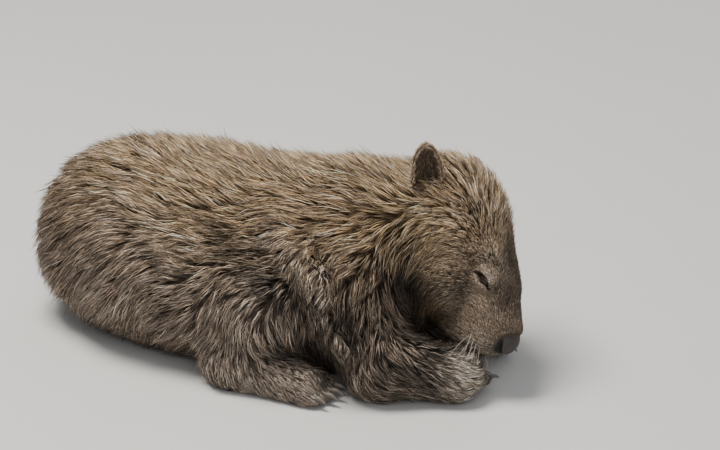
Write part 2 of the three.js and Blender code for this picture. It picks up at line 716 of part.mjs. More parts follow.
// Ears: small cups with a thick root and a rounded tip, turned outward
function ear(side) {
  const root = faceAt(fromSkull(-56, side * 30, -10), skullWay(-0.2, side * 0.97, 0.1));
  root.addScaledVector(skullWay(-0.2, side, 0), -7);
  const rise = skullWay(-0.84, side * 0.42, 0.3);
  const mouth = skullWay(0.3, side * 0.95, 0.35);
  mouth.addScaledVector(rise, -mouth.dot(rise)).normalize();
  const wide = rise.clone().cross(mouth);
  const ROWS = 6;
  const COLUMNS = 7;
  const points = [];
  for (const wall of [EAR_WALL, 0]) {
    for (let row = 0; row < ROWS; row += 1) {
      const t = row / (ROWS - 1);
      const half = 17.5 * (0.74 + 0.9 * t) * Math.sqrt(1 - 0.97 * t ** 2.2) - wall * (1 - t) * 0.4;
      const deep = 12 * (1 - 0.75 * t);
      for (let column = 0; column < COLUMNS; column += 1) {
        const angle = THREE.MathUtils.lerp(-1.75, 1.75, column / (COLUMNS - 1));
        points.push(root.clone()
          .addScaledVector(rise, (EAR_HEIGHT + 6) * t - wall * t)
          .addScaledVector(wide, half * Math.sin(angle) * (1 - wall * 0.035))
          .addScaledVector(mouth, -deep * Math.cos(angle) + 3 * t * t + wall * Math.cos(angle) * 1.0));
      }
    }
  }
  const faces = [];
  const half = ROWS * COLUMNS;
  const quad = (a, b, c, d) => faces.push(a, b, c, a, c, d);
  for (let row = 0; row < ROWS - 1; row += 1) {
    for (let column = 0; column < COLUMNS - 1; column += 1) {
      const a = row * COLUMNS + column;
      quad(a, a + 1, a + 1 + COLUMNS, a + COLUMNS);
      const b = a + half;
      quad(b, b + COLUMNS, b + 1 + COLUMNS, b + 1);
    }
    const a = row * COLUMNS;
    quad(a, a + COLUMNS, a + COLUMNS + half, a + half);
    const b = a + COLUMNS - 1;
    quad(b, b + half, b + half + COLUMNS, b + COLUMNS);
  }
  for (let column = 0; column < COLUMNS - 1; column += 1) {
    quad(column, column + half, column + 1 + half, column + 1);
    const a = (ROWS - 1) * COLUMNS + column;
    quad(a, a + 1, a + 1 + half, a + half);
  }
  return solidFrom(points, faces);
}

const FUR = { colour: 0x7a6650, roughness: 0.9 };
const SKIN = { colour: 0x3b332e, roughness: 0.6 };
const EYE = { colour: 0x17110d, roughness: 0.15 };
const CLAW = { colour: 0x57504a, roughness: 0.45 };

// The head's flesh, a hair larger, to cut the roots of the ears
const headShell = fleshSolid((p) => headAndNeck(p) - SEAM, ...HEAD_REACH, HEAD_CELL);
for (const side of [RIGHT, LEFT]) {
  const suffix = nameOf(side);
  keep(`ear_${suffix}`, ear(side).subtract(headShell), FUR);

  // Eye, socket and the two lids, parted by a slit
  const surface = faceAt(fromSkull(53, side * 20, 20), skullWay(0, side * 0.94, 0.34));
  const outward = slopeOf(headAndNeck, surface, 4).normalize();
  const centre = surface.clone().addScaledVector(outward, -EYE_RADIUS + 2.2);
  const ball = (radius) => solidOf(
    new THREE.SphereGeometry(radius, 11, 7),
    new THREE.Matrix4().setPosition(centre),
  );
  keep(`eye_${suffix}`, ball(EYE_RADIUS), EYE);
  const along = skullWay(0.93, 0, 0.37);
  const slitWay = along.addScaledVector(outward, -along.dot(outward)).normalize();
  const slitFrame = new THREE.Matrix4()
    .makeBasis(slitWay, outward.clone().cross(slitWay), outward)
    .setPosition(centre);
  const onSlit = (x) => V(x, 0.05 * (x * x - 40) * side, 10.5 - x * x * 0.022).applyMatrix4(slitFrame);
  const slit = tube(
    [-13, -9, -4, 0, 4, 9, 13].map(onSlit),
    [0.4, 0.8, 1.2, 1.35, 1.2, 0.8, 0.4].map((r) => r * LID_GAP * 0.5),
    6,
    5,
    outward,
  );
  const lids = slitFrame.clone().scale(LID_RADII);
  weld('head', solidOf(new THREE.SphereGeometry(1, 12, 8), lids));
  carve('head', ball(EYE_RADIUS + SEAM));
  carve('head', slit);
}

// Nose pad: broad, naked, pierced by two comma-shaped nostrils
const PAD = { centre: V(115, 0, 23), radii: V(19, 20.5, 18.5) };
function pad(margin) {
  const place = skullFrame.clone().multiply(new THREE.Matrix4().setPosition(PAD.centre));
  place.multiply(new THREE.Matrix4().makeRotationY(0.25));
  place.scale(PAD.radii.clone().addScalar(margin));
  return solidOf(new THREE.SphereGeometry(1, 14, 9), place);
}
carve('head', pad(SEAM));
let nosePad = pad(0);
for (const side of [RIGHT, LEFT]) {
  const nostril = [[138, 5, 15], [133, 9, 14], [129, 14, 16], [124, 18.5, 21], [118, 21.5, 26]];
  nosePad = nosePad.subtract(tube(
    nostril.map(([x, y, z]) => fromSkull(x, side * y, z)),
    [3.4, 3.8, 3.4, 2.6, 1.6],
    7,
  ));
}
keep('nose_pad', nosePad, SKIN);

// Line of the mouth with a lip on either side of it
const MOUTH = [[139, 1, -4], [128, 13, -5], [112, 24, -9], [94, 29, -15], [78, 31, -19]];
for (const side of [RIGHT, LEFT]) {
  const line = MOUTH.map(([x, y, z]) => {
    const outside = fromSkull(x, side * y, z);
    return faceAt(fromSkull(x - 40, 0, z), outside.sub(fromSkull(x - 40, 0, z)).normalize());
  });
  const lips = (drop) => line.map((point) => point.clone().addScaledVector(skullWay(0, 0, 1), drop));
  weld('head', tube(lips(3.4), [2.2, 3, 3.2, 2.8, 1.4], 5));
  weld('head', tube(lips(-3.2), [2, 2.8, 3, 2.6, 1.4], 5));
  carve('head', tube(line, [1.5, 1.9, 1.9, 1.5, 0.8], 4));
}

carve('head', armRoom);

// Claws: long and stout on the forepaws, shorter on the hind feet, where the first toe has none
for (const side of [RIGHT, LEFT]) {
  const suffix = nameOf(side);
  FORE_DIGITS.forEach((digit, count) => {
    const [from, to] = foreDigit(side, digit);
    const way = to.clone().sub(from).setZ(0).normalize();
    const root = to.clone().addScaledVector(way, 0.5);
    const size = [24 - Math.abs(digit) * 2, 3.9];
    carve(`forepaw_${suffix}`, claw(root, way, ...size, SEAM));
    keep(`claw_fore_${suffix}_${count + 1}`, claw(root, way, ...size), CLAW);
  });
  HIND_DIGITS.forEach((digit, count) => {
    const [from, to] = toes(side, digit);
    const way = to.clone().sub(from).setZ(0).normalize();
    const root = to.clone().addScaledVector(way, 3);
    const size = [20 - Math.abs(digit - 0.6) * 1.5, 4.2];
    for (const name of ['hind_foot', 'flank_fold', 'upper_arm']) {
      carve(`${name}_${suffix}`, claw(root, way, ...size, SEAM));
    }
    keep(`claw_hind_${suffix}_${count + 1}`, claw(root, way, ...size), CLAW);
  });
}

const wombat = new THREE.Group();
wombat.name = 'wombat';
function addNode(name, solid, look) {
  const material = new THREE.MeshStandardMaterial({ color: look.colour, roughness: look.roughness });
  material.name = `${name}_material`;
  const mesh = new THREE.Mesh(geometryOf(solid), material);
  mesh.geometry.computeVertexNormals();
  mesh.name = name;
  wombat.add(mesh);
}
solids.forEach((solid, name) => addNode(name, largest(solid), FUR));
extras.forEach(({ solid, look }, name) => addNode(name, solid, look));

export default wombat;
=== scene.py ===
"""Bare-nosed wombat dozing in a crouch, life-size: hide, coat, ears, eyes, nose, whiskers and claws.
Shapes are worked out in millimetres and turned to metres when a mesh is made."""

import math

import bpy
import numpy as np
from mathutils import Matrix, Vector
from mathutils.kdtree import KDTree


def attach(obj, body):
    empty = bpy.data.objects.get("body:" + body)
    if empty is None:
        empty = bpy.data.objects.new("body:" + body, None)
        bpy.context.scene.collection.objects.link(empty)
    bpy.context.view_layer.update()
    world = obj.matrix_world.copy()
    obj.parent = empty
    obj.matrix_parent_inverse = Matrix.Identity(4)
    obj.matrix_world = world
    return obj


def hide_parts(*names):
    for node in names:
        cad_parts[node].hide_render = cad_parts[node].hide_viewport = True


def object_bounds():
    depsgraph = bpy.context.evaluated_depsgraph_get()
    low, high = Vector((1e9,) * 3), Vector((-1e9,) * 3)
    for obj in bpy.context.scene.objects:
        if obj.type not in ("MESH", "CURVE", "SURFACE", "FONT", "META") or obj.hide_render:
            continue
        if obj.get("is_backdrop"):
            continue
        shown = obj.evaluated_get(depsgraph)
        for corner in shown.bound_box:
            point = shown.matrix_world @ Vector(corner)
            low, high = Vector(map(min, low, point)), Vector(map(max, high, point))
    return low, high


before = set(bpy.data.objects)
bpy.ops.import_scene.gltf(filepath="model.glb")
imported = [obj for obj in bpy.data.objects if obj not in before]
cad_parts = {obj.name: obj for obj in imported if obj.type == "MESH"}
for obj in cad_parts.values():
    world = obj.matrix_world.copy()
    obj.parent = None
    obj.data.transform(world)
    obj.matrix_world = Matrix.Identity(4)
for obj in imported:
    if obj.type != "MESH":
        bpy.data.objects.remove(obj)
solid_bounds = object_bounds()

RIGHT, LEFT = -1, 1
SIDES = (RIGHT, LEFT)
SIDE_NAME = {RIGHT: "right", LEFT: "left"}

# How far the left legs lie behind the right ones, and where the body's middle line is in y
LEFT_BACK, MIDDLE = 60, 3
rng = np.random.default_rng(11)


def vec(*values):
    return np.array(values, float)


BACK, DOWN = vec(-1, 0, 0), vec(0, 0, -1)


def unit(v):
    return v / (np.linalg.norm(v, axis=-1, keepdims=True) + 1e-12)


def dot(a, b):
    return np.einsum("...i,...i", a, b)


def smooth(x, low, high):
    t = np.clip((x - low) / (high - low), 0, 1)
    return t * t * (3 - 2 * t)


def blended(a, b, share):
    return a + (b - a) * share


def tinted(colour, other, share):
    return blended(colour, other, share[..., None])


# The skull's own frame: x toward the nose, y toward the left ear, z toward the crown
SKULL_CENTRE = vec(220.5, 31.5, 157)
FORWARD = unit(vec(0.449, -0.3375, -0.826))
CROWN = unit(np.cross(FORWARD, vec(-0.131, 0.887, -0.445)))
SKULL = np.stack([FORWARD, np.cross(CROWN, FORWARD), CROWN])


def from_skull(x, y, z):
    return SKULL_CENTRE + vec(x, y, z) @ SKULL


def skull_way(x, y, z):
    return unit(vec(x, y, z) @ SKULL)


def to_skull(p):
    return (p - SKULL_CENTRE) @ SKULL.T


# The form of the body, as a distance to the tips of its coat


def egg(centre, radii):
    def distance(p):
        q = (p - centre) / radii
        k = np.sqrt(dot(q, q))
        q = q / radii
        return k * (k - 1) / (np.sqrt(dot(q, q)) + 1e-9)
    return distance


def limb(start, end, start_radius, end_radius):
    start, along = np.array(start, float), np.subtract(end, start).astype(float)

    def distance(p):
        away = p - start
        t = np.clip(away @ along / (along @ along), 0, 1)
        away = away - t[..., None] * along
        return np.sqrt(dot(away, away)) - blended(start_radius, end_radius, t)
    return distance


def fillet(size, *distances):
    d = distances[0]
    for e in distances[1:]:
        h = np.maximum(size - np.abs(d - e), 0) / size
        d = np.minimum(d, e) - h * h * size / 4
    return d


def joined(size, *parts):
    return lambda p: fillet(size, *[part(p) for part in parts])


def nearest(values):
    return np.minimum.reduce(list(values))


def limbs(points, radii):
    return [limb(a, b, r, s) for a, b, r, s in zip(points, points[1:], radii, radii[1:])]


def chain(points, radii):
    """The nearest of the limbs through several points."""
    lengths = limbs(points, radii)
    return lambda p: nearest(length(p) for length in lengths)


def across(side, x, out, z):
    """A point on one flank, out being its distance from the middle line."""
    return vec(x - (LEFT_BACK if side == LEFT else 0), side * out + MIDDLE, z)


def down_flank(side, line):
    """Points and radii of a line on a flank, told by x, distance out, height and radius."""
    return [across(side, *place) for *place, _ in line], [radius for *_, radius in line]


# Shoulder, elbow, wrist, palm and the middle finger's root
FORE = {
    RIGHT: [vec(118, -62, 118), vec(172, -72, 45), vec(248, -38, 33), vec(246, -5, 18), vec(245, 9, 14)],
    LEFT: [vec(104, 74, 118), vec(138, 106, 46), vec(203, 109, 31), vec(213, 100, 19), vec(222, 92, 15)],
}
FINGERS = (-2, -1, 0, 1, 2)
TOES = (-1, 0, 1, 2)


def toe(side, digit):
    return (across(side, 102, 113 + digit * 11, 15),
            across(side, 130 - abs(digit - 0.6) * 5, 112 + digit * 13.5, 11.5))


def finger(side, digit):
    palm, end = FORE[side][3:]
    way = unit((end - palm) * vec(1, 1, 0))
    out = vec(way[1], -way[0], 0)
    start = palm + out * digit * 7
    start[2] = 13
    tip = start + way * (17 - abs(digit) * 3) + out * digit * 2.5
    tip[2] = 10.5
    return start, tip


trunk = joined(
    50,
    egg((-45, -2, 107), (188, 130, 121)),
    egg((-185, 5, 104), (122, 120, 108)),
    egg((-90, 0, 62), (200, 122, 68)),
    egg((70, 4, 110), (128, 108, 116)),
    egg((100, 12, 140), (92, 88, 82)),
    limb((120, 14, 148), (194, 40, 180), 84, 64),
)
skull = joined(
    22,
    egg((-28, 0, -5), (74, 62, 56)),
    egg((42, 0, 12), (76, 42, 38)),
    egg((92, 0, 9), (38, 31, 33)),
    egg((54, 0, -24), (56, 28, 24)),
    *[egg((2, side * 38, -20), (58, 28, 38)) for side in SIDES],
    *[egg((44, side * 29, 34), (26, 13, 12)) for side in SIDES],
)

# The fold of skin at the flank, the hollow that runs from the small of the back down between the haunch
# and that fold, and the crease between the fold and the arm. The coat is painted dark in the hollow and
# the crease, as shade
FOLD = (58, 86, 172, 25), (112, 116, 138, 22), (146, 122, 76, 18), (153, 114, 46, 14)
HOLLOW = ((-30, 108, 186, 8), (10, 122, 170, 13), (52, 134, 148, 15), (95, 142, 120, 15),
          (124, 137, 84, 13), (143, 126, 40, 8))
CREASE = (150, 115, 128, 3), (163, 112, 92, 3), (168, 106, 50, 3)
HOLLOWS = {side: chain(*down_flank(side, HOLLOW)) for side in SIDES}
CREASES = {side: chain(*down_flank(side, CREASE)) for side in SIDES}
HOLLOW_DROP, HOLLOW_SPREAD = 10, 18

# Each part of the flesh: its distance, the coat's depth over the hide, the coat's length and a hair's width.
# The head's last three change along it, so along_head gives them
PARTS = {
    "trunk": (trunk, 20, 37, 1.1),
    "head": (lambda p: skull(to_skull(p)), 0, 0, 0),
    "tail": (limb((-285, 8, 104), (-318, 8, 84), 17, 11), 3, 9, 0.8),
}
for side in SIDES:
    shoulder, elbow, wrist, palm, _ = FORE[side]
    hip, knee = vec(-125, side * 72 + MIDDLE, 112), across(side, 52, 110, 96)
    PARTS.update({
        f"thigh {side}": (limb(hip, knee, 82, 49), 19, 34, 1.05),
        f"shank {side}": (limb(knee + 6 * DOWN, across(side, 14, 124, 40), 46, 36), 14, 30, 1.0),
        f"foot {side}": (limb(across(side, 10, 125, 26), across(side, 108, 127, 19), 30, 24), 7, 19, 0.9),
        f"toes {side}": (joined(8, *[limb(*toe(side, d), 11, 10) for d in TOES]), 3, 8, 0.8),
        f"fold {side}": (joined(20, *limbs(*down_flank(side, FOLD))), 9, 26, 1.0),
        f"arm {side}": (limb(shoulder, elbow, 60, 44), 17, 33, 1.05),
        f"forearm {side}": (limb(elbow, wrist, 42, 31), 11, 28, 1.0),
        f"palm {side}": (limb(wrist, palm, 27, 17), 5, 14, 0.8),
        f"fingers {side}": (joined(6, *[limb(*finger(side, d), 8.5, 7) for d in FINGERS]), 2.5, 7, 0.7),
    })
NAMES = list(PARTS)
DEPTH, LENGTH, WIDTH = (np.array([PARTS[name][k] for name in NAMES], float) for k in (1, 2, 3))
HEAD = NAMES.index("head")

# Where two parts meet, the coat passes from one to the other over about this distance
PART_BLEND = 8


def distances(p):
    return np.stack([PARTS[name][0](p) for name in NAMES])


def flesh(d):
    """Distance to the tips of the coat, from the distances to the parts."""
    part = dict(zip(NAMES, d))
    found = [fillet(12, part["trunk"], part["tail"]), fillet(44, part["trunk"], part["head"])]
    for side in SIDES:
        leg = fillet(26, part[f"thigh {side}"], part[f"shank {side}"], part[f"foot {side}"])
        leg = fillet(8, leg, part[f"toes {side}"])
        found.append(fillet(24, fillet(34, part["trunk"], leg), part[f"fold {side}"]))
        arm = fillet(24, part[f"arm {side}"], part[f"forearm {side}"], part[f"palm {side}"])
        found += [fillet(30, part["trunk"], arm), fillet(6, arm, part[f"fingers {side}"])]
    return nearest(found)


def shares(d):
    """How much each part has to say at a point."""
    weight = np.exp(-(d - d.min(axis=0)) / PART_BLEND)
    return weight / weight.sum(axis=0)


def told_by(values, weight):
    """A value at each point from the values of the parts."""
    return (weight.T @ values).T


def along_head(p, back, face, nose):
    """A value that runs from the back of the head over the face to the nose."""
    x = to_skull(p)[..., 0]
    return blended(back, face, smooth(x, -70, 30)) + (nose - face) * smooth(x, 50, 125)


def coat_depth(p, weight):
    """How deep the hide lies under the tips of the coat: least at the nose and against the floor."""
    near_floor = 0.3 + 0.7 * smooth(p[..., 2], 0, 60)
    return told_by(DEPTH, weight) * near_floor + weight[HEAD] * along_head(p, 12, 4, 1.6)


def dipped(p, d):
    """A distance, pushed inward where the coat sinks into a hollow."""
    away = np.maximum(nearest(HOLLOWS[side](p) for side in SIDES), 0)
    return d + HOLLOW_DROP * np.exp(-(away / HOLLOW_SPREAD) ** 2)


def outline(p):
    return dipped(p, flesh(distances(p)))


def slope(distance, p, step=1.0):
    return np.stack([distance(p + e) - distance(p - e) for e in np.eye(3) * step], axis=-1) / (2 * step)


head_and_neck = joined(44, trunk, PARTS["head"][0])


def onto_head(point, way, inside=0, steps=60):
    """A point moved along a direction until it lies on the head, or some way inside its outline."""
    for _ in range(steps):
        point = point - way * (head_and_neck(point) + inside) * 0.6
    return point


# Eyes: the ball, how far it stands proud of the head, half the slit's length, and what the lids reach
EYE_RADIUS, EYE_PROUD = 8.5, 2.2
SLIT_HALF = 13.0
LID_REACH = 40


def eye_seat(side):
    """The centre of the ball, and its frame: along the slit, toward the crown and outward."""
    surface = onto_head(from_skull(53, side * 20, 20), skull_way(0, side * 0.94, 0.34))
    outward = unit(slope(head_and_neck, surface, 4))
    slit = skull_way(0.93, 0, 0.37)
    slit = unit(slit - outward * (slit @ outward))
    axes = np.stack([slit, np.cross(outward, slit) * -side, outward])
    return surface - outward * (EYE_RADIUS - EYE_PROUD), axes


EYES = {side: eye_seat(side) for side in SIDES}


def from_eye(side, x, y, z):
    centre, axes = EYES[side]
    return centre + vec(x, y, z) @ axes


def to_eye(side, p):
    centre, axes = EYES[side]
    return (p - centre) @ axes.T


def above_slit(q):
    """How far a point in the eye's frame is above the slit's middle, and the slit's half width there."""
    x = q[..., 0] / SLIT_HALF
    return q[..., 1] + 0.9 + 3.6 * (x * x - 0.3), 2.7 * np.clip(1 - x * x, 0, 1)


# The line of the mouth in the skull's frame, from the middle of the muzzle back along a cheek
MOUTH = (141, 0.5, -3), (128, 13, -5), (112, 24, -9), (94, 29, -15), (78, 31, -19)
LIP_DEPTH, LIP_RADIUS = 2, 1.6


def parting_of_lips(side):
    line = []
    for x, y, z in MOUTH:
        start = from_skull(x - 40, 0, z)
        line.append(onto_head(start, unit(from_skull(x, side * y, z) - start), LIP_DEPTH, 40))
    return chain(line, [LIP_RADIUS] * len(line))


lips = {side: parting_of_lips(side) for side in SIDES}


def lids(q):
    """Distance to both lids in the eye's frame. The upper one is the fuller."""
    upper = egg((0, 3.6, -0.2), (14.5, 8.8, 9.7))(q)
    lower = egg((0, -3.6, -0.8), (14, 8.4, 9.1))(q)
    return fillet(2, upper, lower)


# The furred bridge that closes round the back and top of the nose pad
bridge = egg((105, 0, 27), (18.4, 19.4, 16.6))

# Loose hair of the ruff stands out a little under the jaw
ruff = joined(10, *[limb((6, side * 36, -50), (58, side * 26, -47), 15, 9) for side in SIDES])


def tips(p):
    """Distance to the tips of the coat, with the ruff and the short fur of the lids and the bridge."""
    q = to_skull(p)
    surface = fillet(16, fillet(5, outline(p), bridge(q) - 1.8), ruff(q))
    for side in SIDES:
        q = to_eye(side, p)
        beside_eye = np.linalg.norm(q, axis=-1) < LID_REACH
        surface = np.where(beside_eye, fillet(5, surface, lids(q) - 1.2), surface)
    return surface


# How far above the floor the skin is cut off, and how far it stays off the eye's ball
FLOOR_GAP, EYE_GAP = 2.5, 0.25


def hide(p):
    """Distance to the skin: the body less its coat, with lids, their slit and the parting of the lips."""
    d = distances(p)
    skin = np.maximum(dipped(p, flesh(d)) + coat_depth(p, shares(d)), FLOOR_GAP - p[..., 2])
    for side in SIDES:
        q = to_eye(side, p)
        from_centre = np.linalg.norm(q, axis=-1)
        skin = np.where(from_centre < LID_REACH, fillet(4, skin, lids(q)), skin)
        above, half = above_slit(q)
        parting = np.maximum(np.abs(above) - half, 2 - q[..., 2])
        skin = np.maximum(skin, -np.where(np.abs(q[..., 0]) < SLIT_HALF, parting, 9))
        skin = np.maximum(skin, EYE_RADIUS + EYE_GAP - from_centre)
        skin = -fillet(3, -skin, lips[side](p))
    return fillet(5, skin, bridge(to_skull(p)))


# Making meshes


POINTS_AT_ONCE = 60000


def grid_place(axes, index):
    return np.stack([a[i] for a, i in zip(axes, index)], axis=-1)


def sampled(distance, axes, band, block=8):
    """Values of a distance on a grid, worked out only near its zero level."""
    counts = [len(a) for a in axes]
    middles = [np.array([a[i:i + block].mean() for i in range(0, len(a), block)]) for a in axes]
    values = distance(np.stack(np.meshgrid(*middles, indexing="ij"), axis=-1))
    for k in range(3):
        values = np.repeat(values, block, axis=k).take(np.arange(counts[k]), axis=k)
    flat = values.copy().ravel()
    chosen = np.flatnonzero(np.abs(flat) < band)
    for some in np.array_split(chosen, max(1, len(chosen) // POINTS_AT_ONCE)):
        index = np.unravel_index(some, counts)
        flat[some] = distance(grid_place(axes, index))
    return flat.reshape(counts)


def wrapped(distance, axes, band=45):
    """A closed surface of four-sided faces round the zero level of a distance."""
    values = sampled(distance, axes, band)
    inside = values < 0
    size = np.array(values.shape) - 1
    corners = [np.array(c) for c in np.ndindex(2, 2, 2)]
    windows = [tuple(slice(low, low + count) for low, count in zip(corner, size)) for corner in corners]
    total = sum(inside[window].astype(int) for window in windows)
    cells = np.argwhere((total > 0) & (total < 8))
    number = np.full(size, -1)
    number[tuple(cells.T)] = np.arange(len(cells))
    sums, uses = np.zeros((len(cells), 3)), np.zeros(len(cells))
    for corner in corners:
        for k in np.flatnonzero(corner == 0):
            start, end = (cells + corner).T, (cells + corner + np.eye(3, dtype=int)[k]).T
            a, b = values[tuple(start)], values[tuple(end)]
            crossed = (a < 0) != (b < 0)
            t = np.where(crossed, a / np.where(crossed, a - b, 1), 0)[:, None]
            place = blended(grid_place(axes, start), grid_place(axes, end), t)
            sums += np.where(crossed[:, None], place, 0)
            uses += crossed
    faces = []
    for k in range(3):
        u, v = (k + 1) % 3, (k + 2) % 3
        first = np.argwhere(np.diff(inside, axis=k))
        first = first[(first[:, [u, v]] > 0).all(axis=1) & (first[:, [u, v]] < size[[u, v]]).all(axis=1)]
        u, v = np.eye(3, dtype=int)[[u, v]]
        quad = np.stack([number[tuple((first - o).T)] for o in (u + v, v, 0 * u, u)], axis=-1)
        outward = inside[tuple(first.T)]
        faces += [quad[outward], quad[~outward][:, ::-1]]
    return sums / uses[:, None], np.concatenate(faces)


def settled(distance, points, reach, turns=3):
    """Points moved onto the zero level."""
    for _ in range(turns):
        g = slope(distance, points, 0.6)
        move = -distance(points) / np.maximum(dot(g, g), 0.3)
        points = points + g * np.clip(move, -reach, reach)[:, None]
    return points


def sheet_faces(rows, columns, closed=False):
    """Four-sided faces between the rows of a grid of points; closed joins the last column to the first."""
    index = np.arange(rows * columns).reshape(rows, columns)
    after = np.roll(index, -1, axis=1)
    stop = columns if closed else columns - 1
    quads = np.stack([index[:-1], after[:-1], after[1:], index[1:]], axis=-1)[:, :stop]
    return quads.reshape(-1, 4)


def pipe(path, radii, sides, flat=1.0):
    """A closed tube along a path, flat being its height for its width."""
    path, radii = np.array(path), np.array(radii)
    way = unit(np.gradient(path, axis=0))
    wide = unit(np.cross(DOWN, way))
    high = np.cross(wide, way)
    turn = np.arange(sides) * 2 * math.pi / sides
    ring = wide[:, None] * np.cos(turn)[:, None] + high[:, None] * (np.sin(turn) * flat)[:, None]
    points = (path[:, None] + ring * radii[:, None, None]).reshape(-1, 3)
    points = np.concatenate([points, path[:1] - way[:1] * radii[0] * 0.4, path[-1:] + way[-1:] * radii[-1]])
    count = len(path) * sides
    faces = sheet_faces(len(path), sides, closed=True).tolist()
    for j in range(sides):
        n = (j + 1) % sides
        faces += [[count, n, j], [count + 1, count - sides + j, count - sides + n]]
    return points, faces


def placed(name, data):
    thing = bpy.data.objects.new(name, data)
    bpy.context.collection.objects.link(thing)
    return thing


def made(name, points, faces, material, stands_for=(), marks=None, unwrapped=None):
    """A mesh that rides on the body. marks are values for each point, unwrapped its place in the map."""
    mesh = bpy.data.meshes.new(name)
    mesh.from_pydata(np.asarray(points) / 1000, [], faces)
    mesh.shade_smooth()
    for key, values in (marks or {}).items():
        layer = mesh.attributes.new(key, "FLOAT_COLOR", "POINT")
        values = np.column_stack([values, np.ones(len(values))])
        layer.data.foreach_set("color", values.astype(np.float32).ravel())
    if unwrapped is not None:
        corner = np.empty(len(mesh.loops), np.int32)
        mesh.loops.foreach_get("vertex_index", corner)
        layer = mesh.uv_layers.new(name="OFBake")
        layer.data.foreach_set("uv", unwrapped[corner].astype(np.float32).ravel())
    mesh.materials.append(material)
    piece = placed(name, mesh)
    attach(piece, "root")
    if stands_for:
        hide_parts(*stands_for)


# Finishes


class Socket:
    """A value in a material's nodes. Sums of sockets and numbers add their Math nodes."""

    def __init__(self, tree, out=None):
        self.tree, self.out = tree, out

    def node(self, kind, settings=None, output=0, **inputs):
        """A node of a kind. Settings are set first; inputs are named by the socket, or _ and its number."""
        added = self.tree.nodes.new(kind)
        for key, value in (settings or {}).items():
            setattr(added, key, value)
        for key, value in inputs.items():
            socket = added.inputs[int(key[1:]) if key[0] == "_" else key.replace("_", " ")]
            if isinstance(value, Socket):
                self.tree.links.new(value.out, socket)
            elif socket.type == "RGBA":
                socket.default_value = (*value, 1)
            else:
                socket.default_value = value
        return Socket(self.tree, added.outputs[output])

    def maths(self, operation, a, b):
        return self.node("ShaderNodeMath", {"operation": operation}, _0=a, _1=b)

    def __add__(self, other):
        return self.maths("ADD", self, other)

    def __mul__(self, other):
        return self.maths("MULTIPLY", self, other)

    def __sub__(self, other):
        return self.maths("SUBTRACT", self, other)

    def __rsub__(self, other):
        return self.maths("SUBTRACT", other, self)

    __radd__, __rmul__ = __add__, __mul__

    def mixed(self, share, a, b, blend="MIX"):
        settings = {"data_type": "RGBA", "blend_type": blend}
        return self.node("ShaderNodeMix", settings, 2, _0=share, _6=a, _7=b)

    def place(self):
        """Where a point is on the piece at rest, in metres."""
        return self.node("ShaderNodeTexCoord", output=3)

    def mark(self, name):
        return self.node("ShaderNodeAttribute", {"attribute_name": name})

    def noise(self, scale, detail=2.0, place=None):
        return self.node("ShaderNodeTexNoise", Vector=place or self.place(), Scale=scale, Detail=detail)

    def bump(self, height, strength, distance):
        return self.node("ShaderNodeBump", Strength=strength, Distance=distance, Height=height)


def finish_called(name, paint, **shader):
    """A new material: the shader's plain numbers, and what paint says of the sockets that change."""
    material = bpy.data.materials.new(name)
    material.use_nodes = True
    tree = material.node_tree
    bsdf = tree.nodes["Principled BSDF"]
    for key, value in shader.items():
        bsdf.inputs[key.replace("_", " ")].default_value = value
    for key, value in paint(Socket(tree)).items():
        tree.links.new(value.out, bsdf.inputs[key.replace("_", " ")])
    return material


def coat_paint(s):
    speckle = s.mixed(s.noise(900.0), [0.6] * 3, [1.4] * 3)
    return {"Base_Color": s.mixed(1.0, s.mark("tone"), speckle, "MULTIPLY")}


def hide_paint(s):
    """Fine streaks along the lie of the coat, where hairs lie flat on the skin."""
    comb, place = s.mark("lie"), s.place()
    along = s.node("ShaderNodeVectorMath", {"operation": "DOT_PRODUCT"}, 1, _0=place, _1=comb)
    shift = s.node("ShaderNodeVectorMath", {"operation": "SCALE"}, Vector=comb, Scale=along * -0.86)
    drawn = s.node("ShaderNodeVectorMath", {"operation": "ADD"}, _0=place, _1=shift)
    streaks = s.noise(1100.0, 3.0, drawn)
    patches = s.mixed(streaks, [0.15] * 3, [1.85] * 3)
    return {"Base_Color": s.mixed(1.0, s.mark("tone"), patches, "MULTIPLY"),
            "Normal": s.bump(streaks, 0.7, 0.0012)}


def leather_paint(s):
    """Pebbled skin, worn paler in places and dark where it is marked so, as at the nostrils as painted
    shade.
    """
    pebbles = s.node("ShaderNodeTexVoronoi", Vector=s.place(), Scale=800.0)
    wear = s.noise(90.0, 3.0)
    pits = s.mixed(pebbles * 1.3, (0.012, 0.01, 0.009), (0.034, 0.028, 0.026))
    skin = s.mixed(wear, pits, (0.062, 0.052, 0.047))
    return {"Base_Color": s.mixed(1.0, s.mark("tone"), skin, "MULTIPLY"),
            "Roughness": 0.5 + pebbles * 0.3,
            "Normal": s.bump(1 - pebbles, 0.9, 0.0009)}


def horn_paint(s):
    grain = s.noise(260.0, 3.0)
    return {"Base_Color": s.mixed(grain, (0.04, 0.034, 0.03), (0.19, 0.165, 0.14)),
            "Roughness": 0.35 + grain * 0.25,
            "Normal": s.bump(grain, 0.3, 0.0004)}


def eye_paint(s):
    cloud = s.noise(180.0)
    return {"Base_Color": s.mixed(cloud, (0.004, 0.003, 0.002), (0.022, 0.012, 0.007)),
            "Roughness": 0.05 + cloud * 0.05}


def whisker_paint(s):
    return {"Base_Color": s.mixed(s.noise(300.0), (0.45, 0.4, 0.33), (0.78, 0.73, 0.64))}


COAT = finish_called("coarse_coat", coat_paint, Roughness=0.6, Specular_IOR_Level=0.35)
HIDE = finish_called("hide_under_coat", hide_paint, Roughness=0.8, Specular_IOR_Level=0.3)
LEATHER = finish_called("nose_leather", leather_paint, Specular_IOR_Level=0.35)
HORN = finish_called("claw_horn", horn_paint)
WET_EYE = finish_called("wet_eye", eye_paint, Coat_Weight=0.1, Specular_IOR_Level=0.3)
BRISTLE = finish_called("whisker", whisker_paint, Roughness=0.4)

# Colours and lie of the coat

